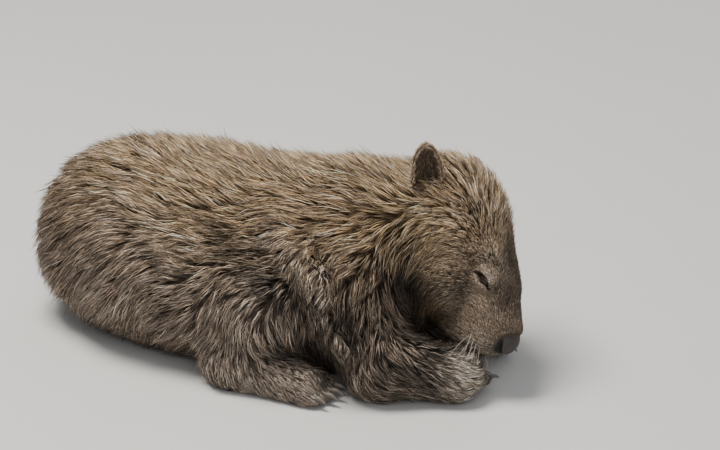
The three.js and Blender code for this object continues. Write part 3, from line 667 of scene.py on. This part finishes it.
TAN, BROWN, GREY = vec(0.275, 0.185, 0.1), vec(0.14, 0.1, 0.071), vec(0.195, 0.154, 0.122)
FACE, OCHRE, PALE = vec(0.125, 0.089, 0.058), vec(0.2, 0.138, 0.06), vec(0.68, 0.57, 0.46)
DARK, PINK_GREY = vec(0.02, 0.015, 0.012), vec(0.24, 0.185, 0.15)

# How far out from the coat openness looks
HOLLOW_REACH = 26


def near(p, middle, reach):
    """1 at the middle of a soft spot, and less over its reach."""
    away = (p - middle) / reach
    return np.exp(-dot(away, away))


def openness(ends, normal):
    """1 where the coat lies open, toward 0 in the hollows between limbs and folds, where it sets painted
    shade.
    """
    return np.clip(outline(ends + normal * HOLLOW_REACH) / HOLLOW_REACH, 0, 1)


def markings(p, weight, opened):
    """Colour of the coat at a point, with painted shade in hollows and creases, and how frosted it is."""
    part = dict(zip(NAMES, weight))
    high = smooth(p[..., 2], 95, 205) * (1 - 0.45 * smooth(-p[..., 0], 190, 290))
    colour = tinted(BROWN, TAN, high)
    folds = sum(part[f"fold {side}"] + 0.45 * part[f"thigh {side}"] for side in SIDES)
    legs = sum(part[f"{name} {side}"] for side in SIDES
               for name in ("shank", "foot", "toes", "forearm", "palm", "fingers"))
    legs = np.clip(legs + 0.8 * folds, 0, 1)
    colour = tinted(colour, GREY, 0.8 * legs)
    forearms = sum(part[f"forearm {side}"] for side in SIDES)
    colour = tinted(colour, 0, 0.8 * forearms)
    on_skull = to_skull(p)
    head = tinted(blended(TAN, BROWN, 0.35), FACE, smooth(on_skull[..., 0], -10, 60))
    colour = tinted(colour, head, part["head"])
    colour = tinted(colour, 0, 0.32 * part["head"] * smooth(on_skull[..., 2], 18, 48))
    fringe = sum(near(on_skull, (66, side * 22, -46), (32, 26, 22)) for side in SIDES)
    colour = tinted(colour, OCHRE, 0.5 * fringe)
    pale = 0.32 + 0.42 * legs - 0.4 * forearms - 0.1 * part["head"] + 0.1 * high
    tuft = near(p, FORE[RIGHT][2] + vec(29, -8, 8), (27, 28, 27))
    colour = tinted(colour, PALE * 0.92, 0.9 * tuft)
    pale = pale + 0.9 * tuft
    # The ruff and the wrist tuft are spared the painted shade of hollows
    opened = np.maximum(opened, np.maximum(fringe, tuft))
    for side in SIDES:
        colour = tinted(colour, OCHRE, 0.75 * near(on_skull, (-18, side * 62, -34), (44, 40, 34)))
        # Painted shade: the coat is darkened and frosted less in the flank's hollow and crease, and in the
        # hollow between the jaw and the arm
        hollow_shade = 0.86 * (1 - smooth(HOLLOWS[side](p), -5, 19))
        hollow_shade = np.maximum(hollow_shade, 0.6 * (1 - smooth(CREASES[side](p), 0, 17)))
        hollow_shade = np.maximum(hollow_shade, 0.95 * near(on_skull, (36, side * 64, -56), (42, 36, 28)))
        colour = tinted(colour, 0, hollow_shade)
        # Painted shade in the crease behind the eye; a spot by the brow is darkened with it
        brow = near(on_skull, to_skull(from_eye(side, -14, 19, 3)), (8, 12, 6))
        crease = near(on_skull, to_skull(from_eye(side, -8, -27, -3)), (17, 14, 4.5))
        colour = tinted(colour, 0, 0.62 * np.clip(brow + crease, 0, 1))
        whorl = near(on_skull, to_skull(from_eye(side, -30, -34, -4)), (22, 14, 4))
        pale = pale - 0.3 * hollow_shade + 0.7 * whorl
        q = to_eye(side, p)
        lid = near(q, vec(0, 6.5, 8), (11, 4.5, 7)) + 0.7 * near(q, vec(2, -6, 6), (10, 2.2, 6))
        colour = tinted(colour, PINK_GREY, np.clip(lid, 0, 1))
    # Painted shade: the coat is darkened where it lies in a hollow, less so on the head
    shade = blended(0.42 + 0.58 * smooth(opened, 0.2, 0.8), 1, 0.7 * part["head"])
    return colour * shade[..., None], np.clip(pale, 0, 1) * shade


# Where the coat is combed which way: middle, reach and direction
STREAMS = [
    (vec(-40, 0, 230), 130, BACK + DOWN * 0.08),
    (vec(-270, 0, 150), 95, BACK * 0.45 + DOWN),
    (vec(170, 30, 240), 60, vec(-1, -0.1, -0.1)),
    (from_skull(-30, 0, 55), 55, -FORWARD),
    (from_skull(40, 0, 50), 45, -FORWARD),
    (from_skull(100, 0, 40), 40, -FORWARD),
    (from_skull(110, 0, -20), 40, -FORWARD * 0.9 - CROWN * 0.5),
    (from_skull(40, 0, -50), 45, vec(-0.9, 0, -0.4)),
]
for side in SIDES:
    back = LEFT_BACK if side == LEFT else 0
    STREAMS += [
        (vec(-120, side * 130, 120), 85, BACK * 0.9 + DOWN * 0.6),
        (vec(-200, side * 110, 90), 70, BACK * 0.6 + DOWN * 0.9),
        (vec(-150, side * 120, 40), 60, BACK * 0.4 + DOWN),
        (vec(40 - back, side * 150, 130), 45, BACK * 0.5 + DOWN),
        (vec(20 - back, side * 150, 60), 45, vec(0.35, 0, -1)),
        (vec(90 - back, side * 150, 25), 45, vec(1, 0, -0.45)),
        (vec(135 - back, side * 125, 90), 40, vec(0.15, side * 0.45, -1)),
        (vec(95 - back, side * 125, 158), 30, vec(0.5, side * 0.9, -1.3)),
        (vec(60, side * 100, 190), 60, vec(-0.8, side * 0.35, -0.6)),
        (vec(150, side * 100, 160), 50, vec(-0.5, side * 0.5, -0.9)),
        (vec(160, side * 110, 90), 40, vec(0.3, side * 0.4, -1)),
        (vec(220, side * 70, 50), 45, vec(1, -0.1 * side, -0.4)),
        (FORE[side][2] + vec(12, side * 10, 8), 26, vec(1, -0.45 * side, -0.5)),
        (FORE[side][3], 14, unit(FORE[side][4] - FORE[side][2])),
        (from_skull(-12, side * 64, -30), 42, vec(-0.45, side * 0.1, -0.85)),
        (from_skull(-25, side * 50, 30), 36, vec(-0.9, side * 0.1, 0.1)),
        (from_skull(22, side * 52, 22), 30, vec(-0.9, side * 0.1, 0.15)),
        (from_skull(48, side * 34, -46), 24, vec(0.1, side * 0.2, -1.6)),
        (from_skull(60, side * 40, -6), 34, -FORWARD * 0.8 - CROWN * 0.5),
        (from_skull(105, side * 30, 0), 30, -FORWARD + vec(0, side * 0.2, -0.3)),
    ]


def lie(p, normal):
    """The way that the coat is combed at a point."""
    way = sum((near(p, middle, reach) + 1e-7)[..., None] * flow for middle, reach, flow in STREAMS)
    way = unit(way) + 1e-6
    return unit(way - normal * dot(way, normal)[..., None])


def ripple(p, size, seed):
    """A smooth wandering number, mostly between -1 and 1."""
    turn = np.random.default_rng(seed)
    total = 0
    for _ in range(4):
        total = total + np.sin(p @ (unit(turn.normal(size=3)) * 2 * math.pi / size) + turn.uniform(0, 6.3))
    return total / 2.4


# The hide, finest round the eyes and the muzzle


def graded(low, fine_low, fine_high, high, coarse, fine):
    return np.r_[low:fine_low:coarse, fine_low:fine_high:fine, fine_high:high:coarse]


def three_sided(faces):
    return np.concatenate([faces[:, [0, 1, 2]], faces[:, [0, 2, 3]]])


def point_normals(points, triangles):
    a, b, c = (points[triangles[:, k]] for k in range(3))
    facing = np.cross(b - a, c - a)
    total = np.zeros_like(points)
    for k in range(3):
        np.add.at(total, triangles[:, k], facing)
    return unit(total)


# Least heights over the floor of the skin, of a hair and of a whisker
LOWEST_SKIN, LOWEST_HAIR, LOWEST_WHISKER = 1, 0.8, 1.2
COARSE, FINE = ((4.4, 1.5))
GRID = (graded(-345, 222, 312, 335, COARSE, FINE),
        graded(-185, -32, 96, 190, COARSE, FINE),
        graded(-6, 36, 160, 300, COARSE, FINE))

# A nostril is a comma: places beside the middle line of the pad, and its radius at each
NOSTRIL = (139, 5.5, 15, 3.2), (133, 9, 14, 4), (129, 14, 16, 3.6), (124, 18.5, 21, 2.6), (119, 21, 26, 1.5)
NOSE_CENTRE, NOSE_TILT = vec(115, 0, 23), 0.25


def nose(p):
    """The naked pad in the skull's frame, with a crease down its middle and comma-shaped nostrils."""
    c, s = math.cos(NOSE_TILT), math.sin(NOSE_TILT)
    q = p - NOSE_CENTRE
    q = np.stack([q[..., 0] * c - q[..., 2] * s, q[..., 1], q[..., 0] * s + q[..., 2] * c], axis=-1)
    wings = [egg((4, side * 9, -3), (12, 10, 12))(q) for side in SIDES]
    pad = fillet(6, egg((0, 0, 0), (17.5, 18, 17))(q), *wings)
    crease = np.maximum(np.abs(p[..., 1]) - 0.7, 12 - q[..., 0] + 0.25 * q[..., 2])
    pad = -fillet(2, -pad, crease)
    return -fillet(1.5, -pad, nostrils(p))


def nostrils(p):
    radii = [radius for *_, radius in NOSTRIL]
    lines = [[vec(x, side * y, z) for x, y, z, _ in NOSTRIL] for side in SIDES]
    return nearest(chain(line, radii)(p) for line in lines)


# Under this height the body rests on the floor and has no hair
RESTING = 3.2


def bare_skin(p):
    """Nose, the edges of the lids and what they hide, where no hair grows."""
    bare = nose(to_skull(p)) < 0.6
    for side in SIDES:
        q = to_eye(side, p)
        above, half = above_slit(q)
        bare |= (np.abs(above) < half + 1.7) & (np.abs(q[..., 0]) < SLIT_HALF + 1) & (q[..., 2] > 0)
        bare |= np.linalg.norm(q, axis=-1) < EYE_RADIUS + 0.6
    return bare | (p[..., 2] < RESTING)


def hide_tone(p, weight, opened):
    """The coat's colour at its roots with its painted shade, darkened for underfur and painted shade between
    hairs, and dark at the edges of the lids and lips.
    """
    tone = markings(p, weight, opened)[0] * 0.6
    for side in SIDES:
        q = to_eye(side, p)
        above, half = above_slit(q)
        rim = 1 - smooth(np.abs(above) - half, 0.4, 1.7)
        rim = rim * (1 - smooth(np.abs(q[:, 0]), 12, 15)) * smooth(q[:, 2], 0, 3)
        tone = tinted(tone, DARK, rim)
        tone = tinted(tone, DARK, 1 - smooth(lips[side](p), 0.2, 2.2))
    return tone


hide_points, hide_quads = wrapped(hide, GRID)
hide_points = settled(hide, hide_points, 1.5)
hide_points[:, 2] = np.maximum(hide_points[:, 2], LOWEST_SKIN)
hide_triangles = three_sided(hide_quads)
hide_normals = point_normals(hide_points, hide_triangles)
hide_weight = shares(distances(hide_points))
hide_depth = coat_depth(hide_points, hide_weight)
hide_open = openness(hide_points + hide_normals * hide_depth[:, None], hide_normals)
FLESH = [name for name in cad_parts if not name.startswith(("eye", "claw", "ear", "nose"))]
made("hide", hide_points, hide_quads, HIDE, FLESH,
     marks={"tone": hide_tone(hide_points, hide_weight, hide_open), "lie": lie(hide_points, hide_normals)})

# Hairs are closed, three-sided and tapered: a ring at the root, a ring half way along and a point. An age
# is a place along a hair, 0 at its root and 1 at its tip
AGES = np.array([0, 0.5, 1])
TAPER = (0.85, 1.0)
HAIR_FLATNESS = 0.8
HAIR_EDGES = (0, 1), (1, 2), (2, 0)
HAIR_FACES = np.array([[0, 1, 2],
                       *[[k, 3 + n, n] for k, n in HAIR_EDGES],
                       *[[k, 3 + k, 3 + n] for k, n in HAIR_EDGES],
                       *[[3 + k, 6, 3 + n] for k, n in HAIR_EDGES]])
HAIR_AGE = np.array([0, 0, 0, 0.5, 0.5, 0.5, 1])

# In the map a hair is a small patch at its root's place on the unwrapped skin, which leaves a margin
PATCH, UNWRAPPED = 0.003, 0.99
HAIR_PATCH = np.stack([np.array([0, 0.5, 1, 0, 0.5, 1, 0.5]), HAIR_AGE], axis=-1) * PATCH
MOST_HAIRS = 11500
ROOT_SHADE = 0.3


def hair_points(path, up, width):
    """Rings of a hair about its path, each hair rolled a little so that they don't all face alike."""
    roll = rng.uniform(-0.7, 0.7, len(up))[:, None]
    rings = []
    for k, thick in enumerate(TAPER):
        way = unit(path[k + 1] - path[max(k - 1, 0)])
        wide = unit(np.cross(way, up))
        high = np.cross(wide, way)
        wide, high = wide * np.cos(roll) + high * np.sin(roll), high * np.cos(roll) - wide * np.sin(roll)
        half = (width * thick / 2)[:, None]
        corners = [path[k] + wide * half, path[k] + high * half * HAIR_FLATNESS, path[k] - wide * half]
        rings.append(np.stack(corners, axis=1))
    points = np.concatenate([*rings, path[-1][:, None]], axis=1)
    points[..., 2] = np.maximum(points[..., 2], LOWEST_HAIR)
    return points


def hair_tones(colour, pale, shade):
    """Dark at the root, the coat's own colour in the middle, frosted at the tip."""
    age = HAIR_AGE[None, :, None]
    tone = colour[:, None] * (ROOT_SHADE + 0.9 * np.minimum(age * 2, 1)) * shade[:, None, None]
    frost = np.minimum(pale, 0.95)[:, None] * smooth(HAIR_AGE, 0.1, 0.9)
    tone = tinted(tone, PALE * np.sqrt(shade)[:, None, None], frost)
    return np.clip(tone, 0.004, 0.9)


def hair_piece(name, points, tones, places):
    """Meshes of at most MOST_HAIRS hairs. places are their roots' places on the unwrapped skin."""
    parts = np.array_split(np.arange(len(points)), math.ceil(len(points) / MOST_HAIRS))
    for part, some in enumerate(parts):
        faces = HAIR_FACES[None] + (np.arange(len(some)) * points.shape[1])[:, None, None]
        unwrapped = places[some][:, None] * UNWRAPPED + HAIR_PATCH
        made(f"{name}_{part + 1}", points[some].reshape(-1, 3), faces.reshape(-1, 3), COAT,
             marks={"tone": tones[some].reshape(-1, 3)}, unwrapped=unwrapped.reshape(-1, 2))


# The coat: hairs in locks, how uneven the shades of locks and hairs are, and how many hairs are dark
HAIRS = 142000
HAIRS_IN_LOCK = 8
LOCK_SHADES, HAIR_SHADES = 0.2, 0.57
DARK_HAIRS, DARK_SHADE = 0.25, 0.36
ASTRAY = 0.05


def looseness(length):
    """Short hair lies evenly, and long hair wanders and gathers more."""
    return 0.4 + 0.6 * smooth(length, 12, 24)


def combed(start, normal, length):
    """Middle lines of locks: each leaves the hide, bows over along the lie and ends at the coat's tips,
    or under them where the hair is too short."""
    p, lines, ups = start, [start], [normal]
    below = -tips(start)
    depth = np.clip(below, 0.8, 0.6 * length)
    short = np.maximum(below - depth, 0)
    stride = np.sqrt(np.maximum(length ** 2 - depth ** 2, (0.5 * length) ** 2)) / (len(AGES) - 1)
    drift = 0.24 * ripple(start, 75, 5) + 0.2 * ripple(start, 21, 6) + rng.normal(0, 0.09, len(start))
    drift = drift * looseness(length)
    for age in AGES[1:]:
        way = lie(p, normal)
        way = way * np.cos(drift)[:, None] + np.cross(normal, way) * np.sin(drift)[:, None]
        p = p + way * stride[:, None]
        normal = unit(slope(tips, p, 2.5))
        p = p + normal * (-short - depth * (1 - age) ** 1.5 - tips(p))[:, None]
        lines.append(p)
        ups.append(normal)
    return np.stack(lines), np.stack(ups)


def gathered(root, line, ups, length):
    """Paths of hairs that lean toward the middle line of their lock, a few of them astray."""
    count = len(root)
    gather = rng.uniform(0.05, 0.45, count) * looseness(length)
    reach = rng.uniform(0.7, 1.12, count)
    aside = rng.normal(0, 0.07, count) * length
    curl = rng.normal(0, 0.035, count) * length
    raised = rng.normal(0, 0.045, count) * length
    raised = np.where(rng.random(count) < ASTRAY, np.abs(raised) * 2.2 + 0.05 * length, raised)
    flat = unit(np.cross(line[1] - line[0], ups[0]))
    path = []
    for k, age in enumerate(AGES):
        spread = (root - line[0]) * (1 - gather * age ** 1.2)[:, None]
        stray = flat * (aside * age ** 2 + curl * 4 * age * (1 - age))[:, None]
        stray = stray + ups[k] * (raised * age ** 2)[:, None]
        path.append(line[0] + (line[k] - line[0]) * reach[:, None] + spread + stray)
    path[0] = path[0] - ups[0] * 2
    return np.stack(path)


def sown(points, triangles, want):
    """Roots drawn over a surface, as many on each face as it wants."""
    chosen = rng.choice(len(triangles), HAIRS, p=want / want.sum())
    s, t = rng.random(HAIRS), rng.random(HAIRS)
    folded = s + t > 1
    s, t = np.where(folded, 1 - s, s)[:, None], np.where(folded, 1 - t, t)[:, None]
    a, b, c = (points[triangles[chosen, k]] for k in range(3))
    return a * (1 - s - t) + b * s + c * t, unit(np.cross(b - a, c - a)), chosen


def region(root, weight):
    """The name of the part of the coat that a root belongs to."""
    labels = np.array([name.replace(" -1", "_right").replace(" 1", "_left") for name in NAMES])
    label = labels[weight.argmax(axis=0)]
    trunk_part = np.select([root[:, 0] < -130, root[:, 0] < 10], ["rump", "back"], "withers")
    q = to_skull(root)
    head_part = np.select([q[:, 0] < 15, q[:, 1] < 0], ["ruff", "cheek_right"], "cheek_left")
    return np.select([label == "trunk", label == "head"], [trunk_part, head_part], label)


def grown():
    """What length and width the hairs have on each face of the hide, and how many it wants."""
    a, b, c = (hide_points[hide_triangles[:, k]] for k in range(3))
    area = np.linalg.norm(np.cross(b - a, c - a), axis=1) / 2
    middle = (a + b + c) / 3
    weight = shares(distances(middle))
    length = told_by(LENGTH, weight) + weight[HEAD] * along_head(middle, 17, 9.5, 4.5)
    low = smooth(-to_skull(middle)[:, 2], 10, 42)
    length = length + weight[HEAD] * 16 * low * smooth(-middle[:, 0], -265, -235)
    length = length + 10 * near(middle, FORE[RIGHT][2] + vec(20, -6, 6), 24)
    width = told_by(WIDTH, weight) + weight[HEAD] * along_head(middle, 0.76, 0.6, 0.46)
    for side in SIDES:
        beside_eye = 1 - smooth(np.linalg.norm(middle - EYES[side][0], axis=1), 12, 28)
        length = length * (1 - 0.5 * beside_eye)
        width = width * (1 - 0.2 * beside_eye)
    return length, width, weight, area * ~bare_skin(middle) / (width * length) * (6 + 3 * weight[HEAD])


def coat():
    length, width, weight, want = grown()
    root, normal, chosen = sown(hide_points, hide_triangles, want)
    length, width, weight = length[chosen], width[chosen], weight[:, chosen]
    length = length * (1 + 0.15 * ripple(root, 45, 8))
    width = width * 1
    middles = rng.choice(HAIRS, HAIRS // HAIRS_IN_LOCK, replace=False)
    tree = KDTree(len(middles))
    for lock, k in enumerate(middles):
        tree.insert(root[k], lock)
    tree.balance()
    lock = np.array([tree.find(p)[1] for p in root])
    lines, ups = combed(root[middles], normal[middles], length[middles])
    opened = openness(lines[-1], ups[-1])[lock]
    path = gathered(root, lines[:, lock], ups[:, lock], length)
    points = hair_points(path, ups[1, lock], width)
    colour, pale = markings(path[1], weight, opened)
    dark = rng.random(HAIRS) < DARK_HAIRS
    shade = np.exp(rng.normal(0, LOCK_SHADES * looseness(length[middles])))[lock]
    shade = shade * np.exp(rng.normal(0, HAIR_SHADES, HAIRS))
    shade = shade * np.where(dark, DARK_SHADE, 1) * (1 + 0.2 * ripple(root, 36, 9))
    tones = hair_tones(colour, pale * rng.random(HAIRS) ** 2.8 * 2.7 * ~dark, shade)
    label = region(root, weight)
    for name in np.unique(label):
        rows = np.flatnonzero(label == name)
        on_head = name.startswith(("ruff", "cheek"))
        local = (root[rows] - root[rows].mean(axis=0)) @ (SKULL if on_head else np.eye(3)).T
        round_it = np.arctan2(local[:, 2], local[:, 1]) / (2 * math.pi) + 0.5
        along = (local[:, 0] - local[:, 0].min()) / np.ptp(local[:, 0])
        hair_piece(f"coat_{name}", points[rows], tones[rows], np.stack([round_it, along], axis=-1))


coat()

# Ears: thin furred cups with the hollow painted dark as shade and a paler edge. EAR_TURN is how far the
# sheet bends each way, in radians, and its two walls lie at EAR_BACK and EAR_FRONT
EAR_HEIGHT, EAR_HALF, EAR_CUP, EAR_TURN = 50, 18, 12, 1.75
EAR_BACK, EAR_FRONT = 0.6, 2.4
EAR_HAIRS = 2600


def ear_frame(side):
    """The root of an ear, and its frame: toward the tip, across and toward the opening."""
    root = onto_head(from_skull(-56, side * 30, -10), skull_way(-0.2, side * 0.97, 0.1))
    rise, mouth = skull_way(-0.84, side * 0.42, 0.3), skull_way(0.3, side * 0.95, 0.35)
    mouth = unit(mouth - rise * (mouth @ rise))
    return root - skull_way(-0.2, side, 0) * 7, rise, np.cross(rise, mouth), mouth


def ear_place(side, wall, t, turn):
    """A point of the ear's sheet, wall millimetres from its back, t up to the tip, turn round the cup."""
    root, rise, wide, mouth = ear_frame(side)
    half = EAR_HALF * (1 - 0.12 * t) * np.sqrt(1 - 0.97 * t ** 3.2)
    deep = EAR_CUP * (1 - 0.62 * t)
    return (root + rise * (EAR_HEIGHT * t - wall * t)[..., None]
            + wide * (half * np.sin(turn) * (1 - 0.03 * wall))[..., None]
            + mouth * ((wall - deep) * np.cos(turn) + 4 * t * t)[..., None])


def ear_leaf(side):
    """The sheet of an ear, with a back, a front and an edge."""
    name = SIDE_NAME[side]
    rows, columns = 26, 25
    t, turn = np.meshgrid(np.linspace(0, 1, rows), np.linspace(-EAR_TURN, EAR_TURN, columns), indexing="ij")
    walls = [ear_place(side, wall, t, turn).reshape(-1, 3) for wall in (EAR_BACK, EAR_FRONT)]
    size = rows * columns
    index = np.arange(size).reshape(rows, columns)
    quads = sheet_faces(rows, columns)
    edge = [*index[0], *index[1:, -1], *index[-1, -2::-1], *index[-2:0:-1, 0]]
    band = [[a, a + size, b + size, b] for a, b in zip(edge, edge[1:] + edge[:1])]
    faces = np.concatenate([quads, quads[:, ::-1] + size, band])
    # The front wall, inside the cup, is painted darker than the back, as shade in the hollow
    tone = np.repeat([BROWN * 0.7, BROWN * 0.3], size, axis=0)
    made(f"ear_leaf_{name}", np.concatenate(walls), faces, HIDE, [f"ear_{name}"],
         marks={"tone": tone, "lie": np.tile(ear_frame(side)[1], (2 * size, 1))})


def ear_fur(side):
    """Hairs on the back of an ear and inside it, which lean outward at its edge."""
    name = SIDE_NAME[side]
    t, turn = rng.random(EAR_HAIRS) ** 0.85 * 0.985, rng.uniform(-EAR_TURN, EAR_TURN, EAR_HAIRS)
    inside = rng.random(EAR_HAIRS) < 0.38
    edge = np.minimum(smooth(np.abs(turn) / EAR_TURN, 0.72, 0.98) + smooth(t, 0.8, 0.97), 1)
    wall = np.where(inside, EAR_FRONT, EAR_BACK)
    root = ear_place(side, wall, t, turn)
    climb = unit(ear_place(side, wall, t + 0.01, turn) - root)
    round_it = unit(ear_place(side, wall, t, turn + 0.01) - root)
    normal = unit(np.cross(round_it, climb))
    back = -ear_frame(side)[3]
    away = back * np.where(inside, -1, 1)[:, None] + 1e-9
    normal = normal * np.sign(dot(normal, away))[:, None]
    way = climb + round_it * (0.75 * edge * turn / EAR_TURN)[:, None]
    way = unit(way + rng.normal(0, 0.12, (EAR_HAIRS, 3)))
    length = rng.uniform(0.7, 1.2, EAR_HAIRS) * np.where(inside, 7 + 5 * (1 - t), 9 + 4 * (1 - t))
    length = length * (1 - 0.25 * edge)
    lift = np.where(inside, 0.16, 0.1) + 0.1 * edge
    bend = root + (way * 0.5 + normal * (lift * 0.6)[:, None]) * length[:, None]
    path = np.stack([root - normal * 0.3, bend, root + (way + normal * lift[:, None]) * length[:, None]])
    width = np.full(EAR_HAIRS, 0.8 * (1))
    # Hairs inside the cup are painted darker away from its edge, as shade in the hollow
    shade = np.exp(rng.normal(0, 0.42, EAR_HAIRS)) * np.where(inside, 0.5 + 0.7 * edge, 0.95)
    pale = np.clip(0.15 + 0.5 * edge, 0, 1) * rng.uniform(0.1, 1.3, EAR_HAIRS) * np.where(inside, 0.5, 1)
    colour = np.tile(blended(BROWN, TAN, 0.45), (EAR_HAIRS, 1))
    places = np.stack([turn / EAR_TURN * 0.23 + np.where(inside, 0.75, 0.25), t * 0.97], axis=-1)
    points, tones = hair_points(path, normal, width), hair_tones(colour, pale, shade)
    hair_piece(f"coat_ear_{name}", points, tones, places)


for side in SIDES:
    ear_leaf(side)
    ear_fur(side)

# Eyes, nose, whiskers and claws


def eyeball(side, rows=28, columns=40):
    """A ball with the cornea standing a little proud of it."""
    centre, axes = EYES[side]
    polar, turn = np.meshgrid(np.linspace(0.02, math.pi - 0.02, rows),
                              np.arange(columns) * 2 * math.pi / columns, indexing="ij")
    radius = EYE_RADIUS * (1 + 0.02 * np.exp(-(polar / 0.7) ** 4))
    q = np.stack([np.sin(polar) * np.cos(turn), np.sin(polar) * np.sin(turn), np.cos(polar)], axis=-1)
    points = (q * radius[..., None]).reshape(-1, 3) @ axes + centre
    last = len(points) - columns
    faces = sheet_faces(rows, columns, closed=True)[:, ::-1].tolist()
    faces += [list(range(columns)), list(range(len(points) - 1, last - 1, -1))]
    if side == LEFT:
        faces = [face[::-1] for face in faces]
    name = SIDE_NAME[side]
    made(f"eyeball_{name}", points, faces, WET_EYE, [f"eye_{name}"])


PAD_STEP = 0.7
pad_grid = [np.arange(low, high, PAD_STEP) for low, high in ((92, 142), (-25, 25), (0, 46))]
points, faces = wrapped(nose, pad_grid, band=20)
points = settled(nose, points, 0.5)
# The nostrils are painted dark, as shade inside them
light = 0.12 + 0.88 * smooth(nostrils(points), 0.1, 1.6)
made("nose_leather_pad", SKULL_CENTRE + points @ SKULL, faces, LEATHER, ["nose_pad"],
     marks={"tone": np.repeat(light[:, None], 3, axis=1)})


WHISKERS, WHISKER_RADIUS = 8, 0.24


def whisker(side, number):
    """A stiff hair of the muzzle: rooted in the upper lip, bowed down."""
    row, place = divmod(number, WHISKERS // 2)
    start = from_skull(123 - place * 6 - row * 2, side * 24, -9 + row * 5)
    root = onto_head(start, skull_way(0.1, side, -0.1), 2)
    length = 22 + place * 6 + rng.uniform(-3, 8)
    sweep = unit(skull_way(0.9 - 0.15 * place, side * 0.7, -0.3 + 0.15 * row) + rng.normal(0, 0.16, 3))
    t = np.linspace(0, 1, 10)[:, None]
    path = root + sweep * length * t + (DOWN * 0.4 + BACK * 0.12) * length * t * t
    path[:, 2] = np.maximum(path[:, 2], LOWEST_WHISKER)
    return pipe(path, WHISKER_RADIUS * (1 - 0.8 * t[:, 0]), 5)


def claw(name, stands_for, digit, ahead, length, radius):
    """Rooted a little ahead of its digit: thick at the root, bowed over and drawn to a point."""
    start, end = digit
    way = unit((end - start) * vec(1, 1, 0))
    t = np.linspace(-0.08, 1, 14)
    rise = -length * (0.16 * np.sin(math.pi * t) - 0.12 * t)
    path = end + way * ahead + way * (length * t)[:, None] + DOWN * rise[:, None]
    points, faces = pipe(path, radius * (1 - 0.9 * np.clip(t, 0, 1) ** 1.7), 12, 0.95)
    made(name, points, faces, HORN, [stands_for])


def claws(side):
    """Longer on the forepaws than on the hind feet."""
    name = SIDE_NAME[side]
    for number, digit in enumerate(FINGERS):
        place = f"{name}_{number + 1}"
        length = 24 - abs(digit) * 2
        claw(f"foreclaw_{place}", f"claw_fore_{place}", finger(side, digit), 0.5, length, 3.9)
    for number, digit in enumerate(TOES):
        place = f"{name}_{number + 1}"
        length = 20 - abs(digit - 0.6) * 1.5
        claw(f"hindclaw_{place}", f"claw_hind_{place}", toe(side, digit), 3, length, 4.2)


def whiskers(side):
    points, faces = np.empty((0, 3)), []
    for number in range(WHISKERS):
        hair, hair_faces = whisker(side, number)
        faces += [[len(points) + k for k in face] for face in hair_faces]
        points = np.concatenate([points, hair])
    made(f"whiskers_{SIDE_NAME[side]}", points, faces, BRISTLE)


for side in SIDES:
    eyeball(side)
    claws(side)
    whiskers(side)

# Floor, light and camera


def floor_paint(s):
    return {"Base_Color": s.mixed(s.noise(3.0), (0.62, 0.61, 0.59), (0.66, 0.65, 0.63))}


FLOOR_SIZE = 14
bpy.ops.mesh.primitive_plane_add(size=FLOOR_SIZE)
floor = bpy.context.object
floor.name = "floor"
floor.data.materials.append(finish_called("pale_floor", floor_paint, Roughness=0.9))
floor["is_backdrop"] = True


LAMPS_AIM = vec(0, 0, 0.1)


def lamp(name, place, size, power, colour):
    """A square soft light, aimed at the middle of the body."""
    light = placed(name, bpy.data.lights.new(name, "AREA"))
    light.location = place
    light.data.size, light.data.energy, light.data.color = size, power, colour
    light.rotation_mode = "QUATERNION"
    light.rotation_quaternion = Vector(LAMPS_AIM - place).to_track_quat("-Z", "Y")


lamp("key", vec(-0.5, -0.5, 2.5), 1.1, 96, (1, 0.965, 0.9))
lamp("fill", vec(1.6, -2.0, 1.3), 2.2, 24, (0.95, 0.97, 1))
lamp("back", vec(-0.5, 2.4, 1.8), 1.8, 16, (1, 1, 1))
world = bpy.data.worlds.new("studio")
bpy.context.scene.world = world
world.use_nodes = True
sky = world.node_tree.nodes["Background"].inputs
sky["Color"].default_value = (0.95, 0.96, 1, 1)
sky["Strength"].default_value = 0.34

# AIM is what the middle of the picture shows, rightward and up
AZIMUTH, ELEVATION, AWAY = math.radians(30), math.radians(22), 8
AIM = (0.092, 0.136)
LENS_PER_METRE, SENSOR = 44, 36
right = vec(math.cos(AZIMUTH), math.sin(AZIMUTH), 0)
level = vec(math.sin(AZIMUTH), -math.cos(AZIMUTH), 0)
toward = level * math.cos(ELEVATION) + vec(0, 0, math.sin(ELEVATION))
up = np.cross(toward, right)
camera = placed("camera", bpy.data.cameras.new("camera"))
camera.data.lens, camera.data.sensor_width = LENS_PER_METRE * AWAY, SENSOR
camera.location = right * AIM[0] + up * AIM[1] + toward * AWAY
camera.rotation_mode = "QUATERNION"
camera.rotation_quaternion = Matrix(np.stack([right, up, toward], axis=1).tolist()).to_quaternion()
bpy.context.scene.camera = camera

bounds = {"frame": solid_bounds, "dressed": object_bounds()}
{key: [[float(x) for x in corner] for corner in box] for key, box in bounds.items()}
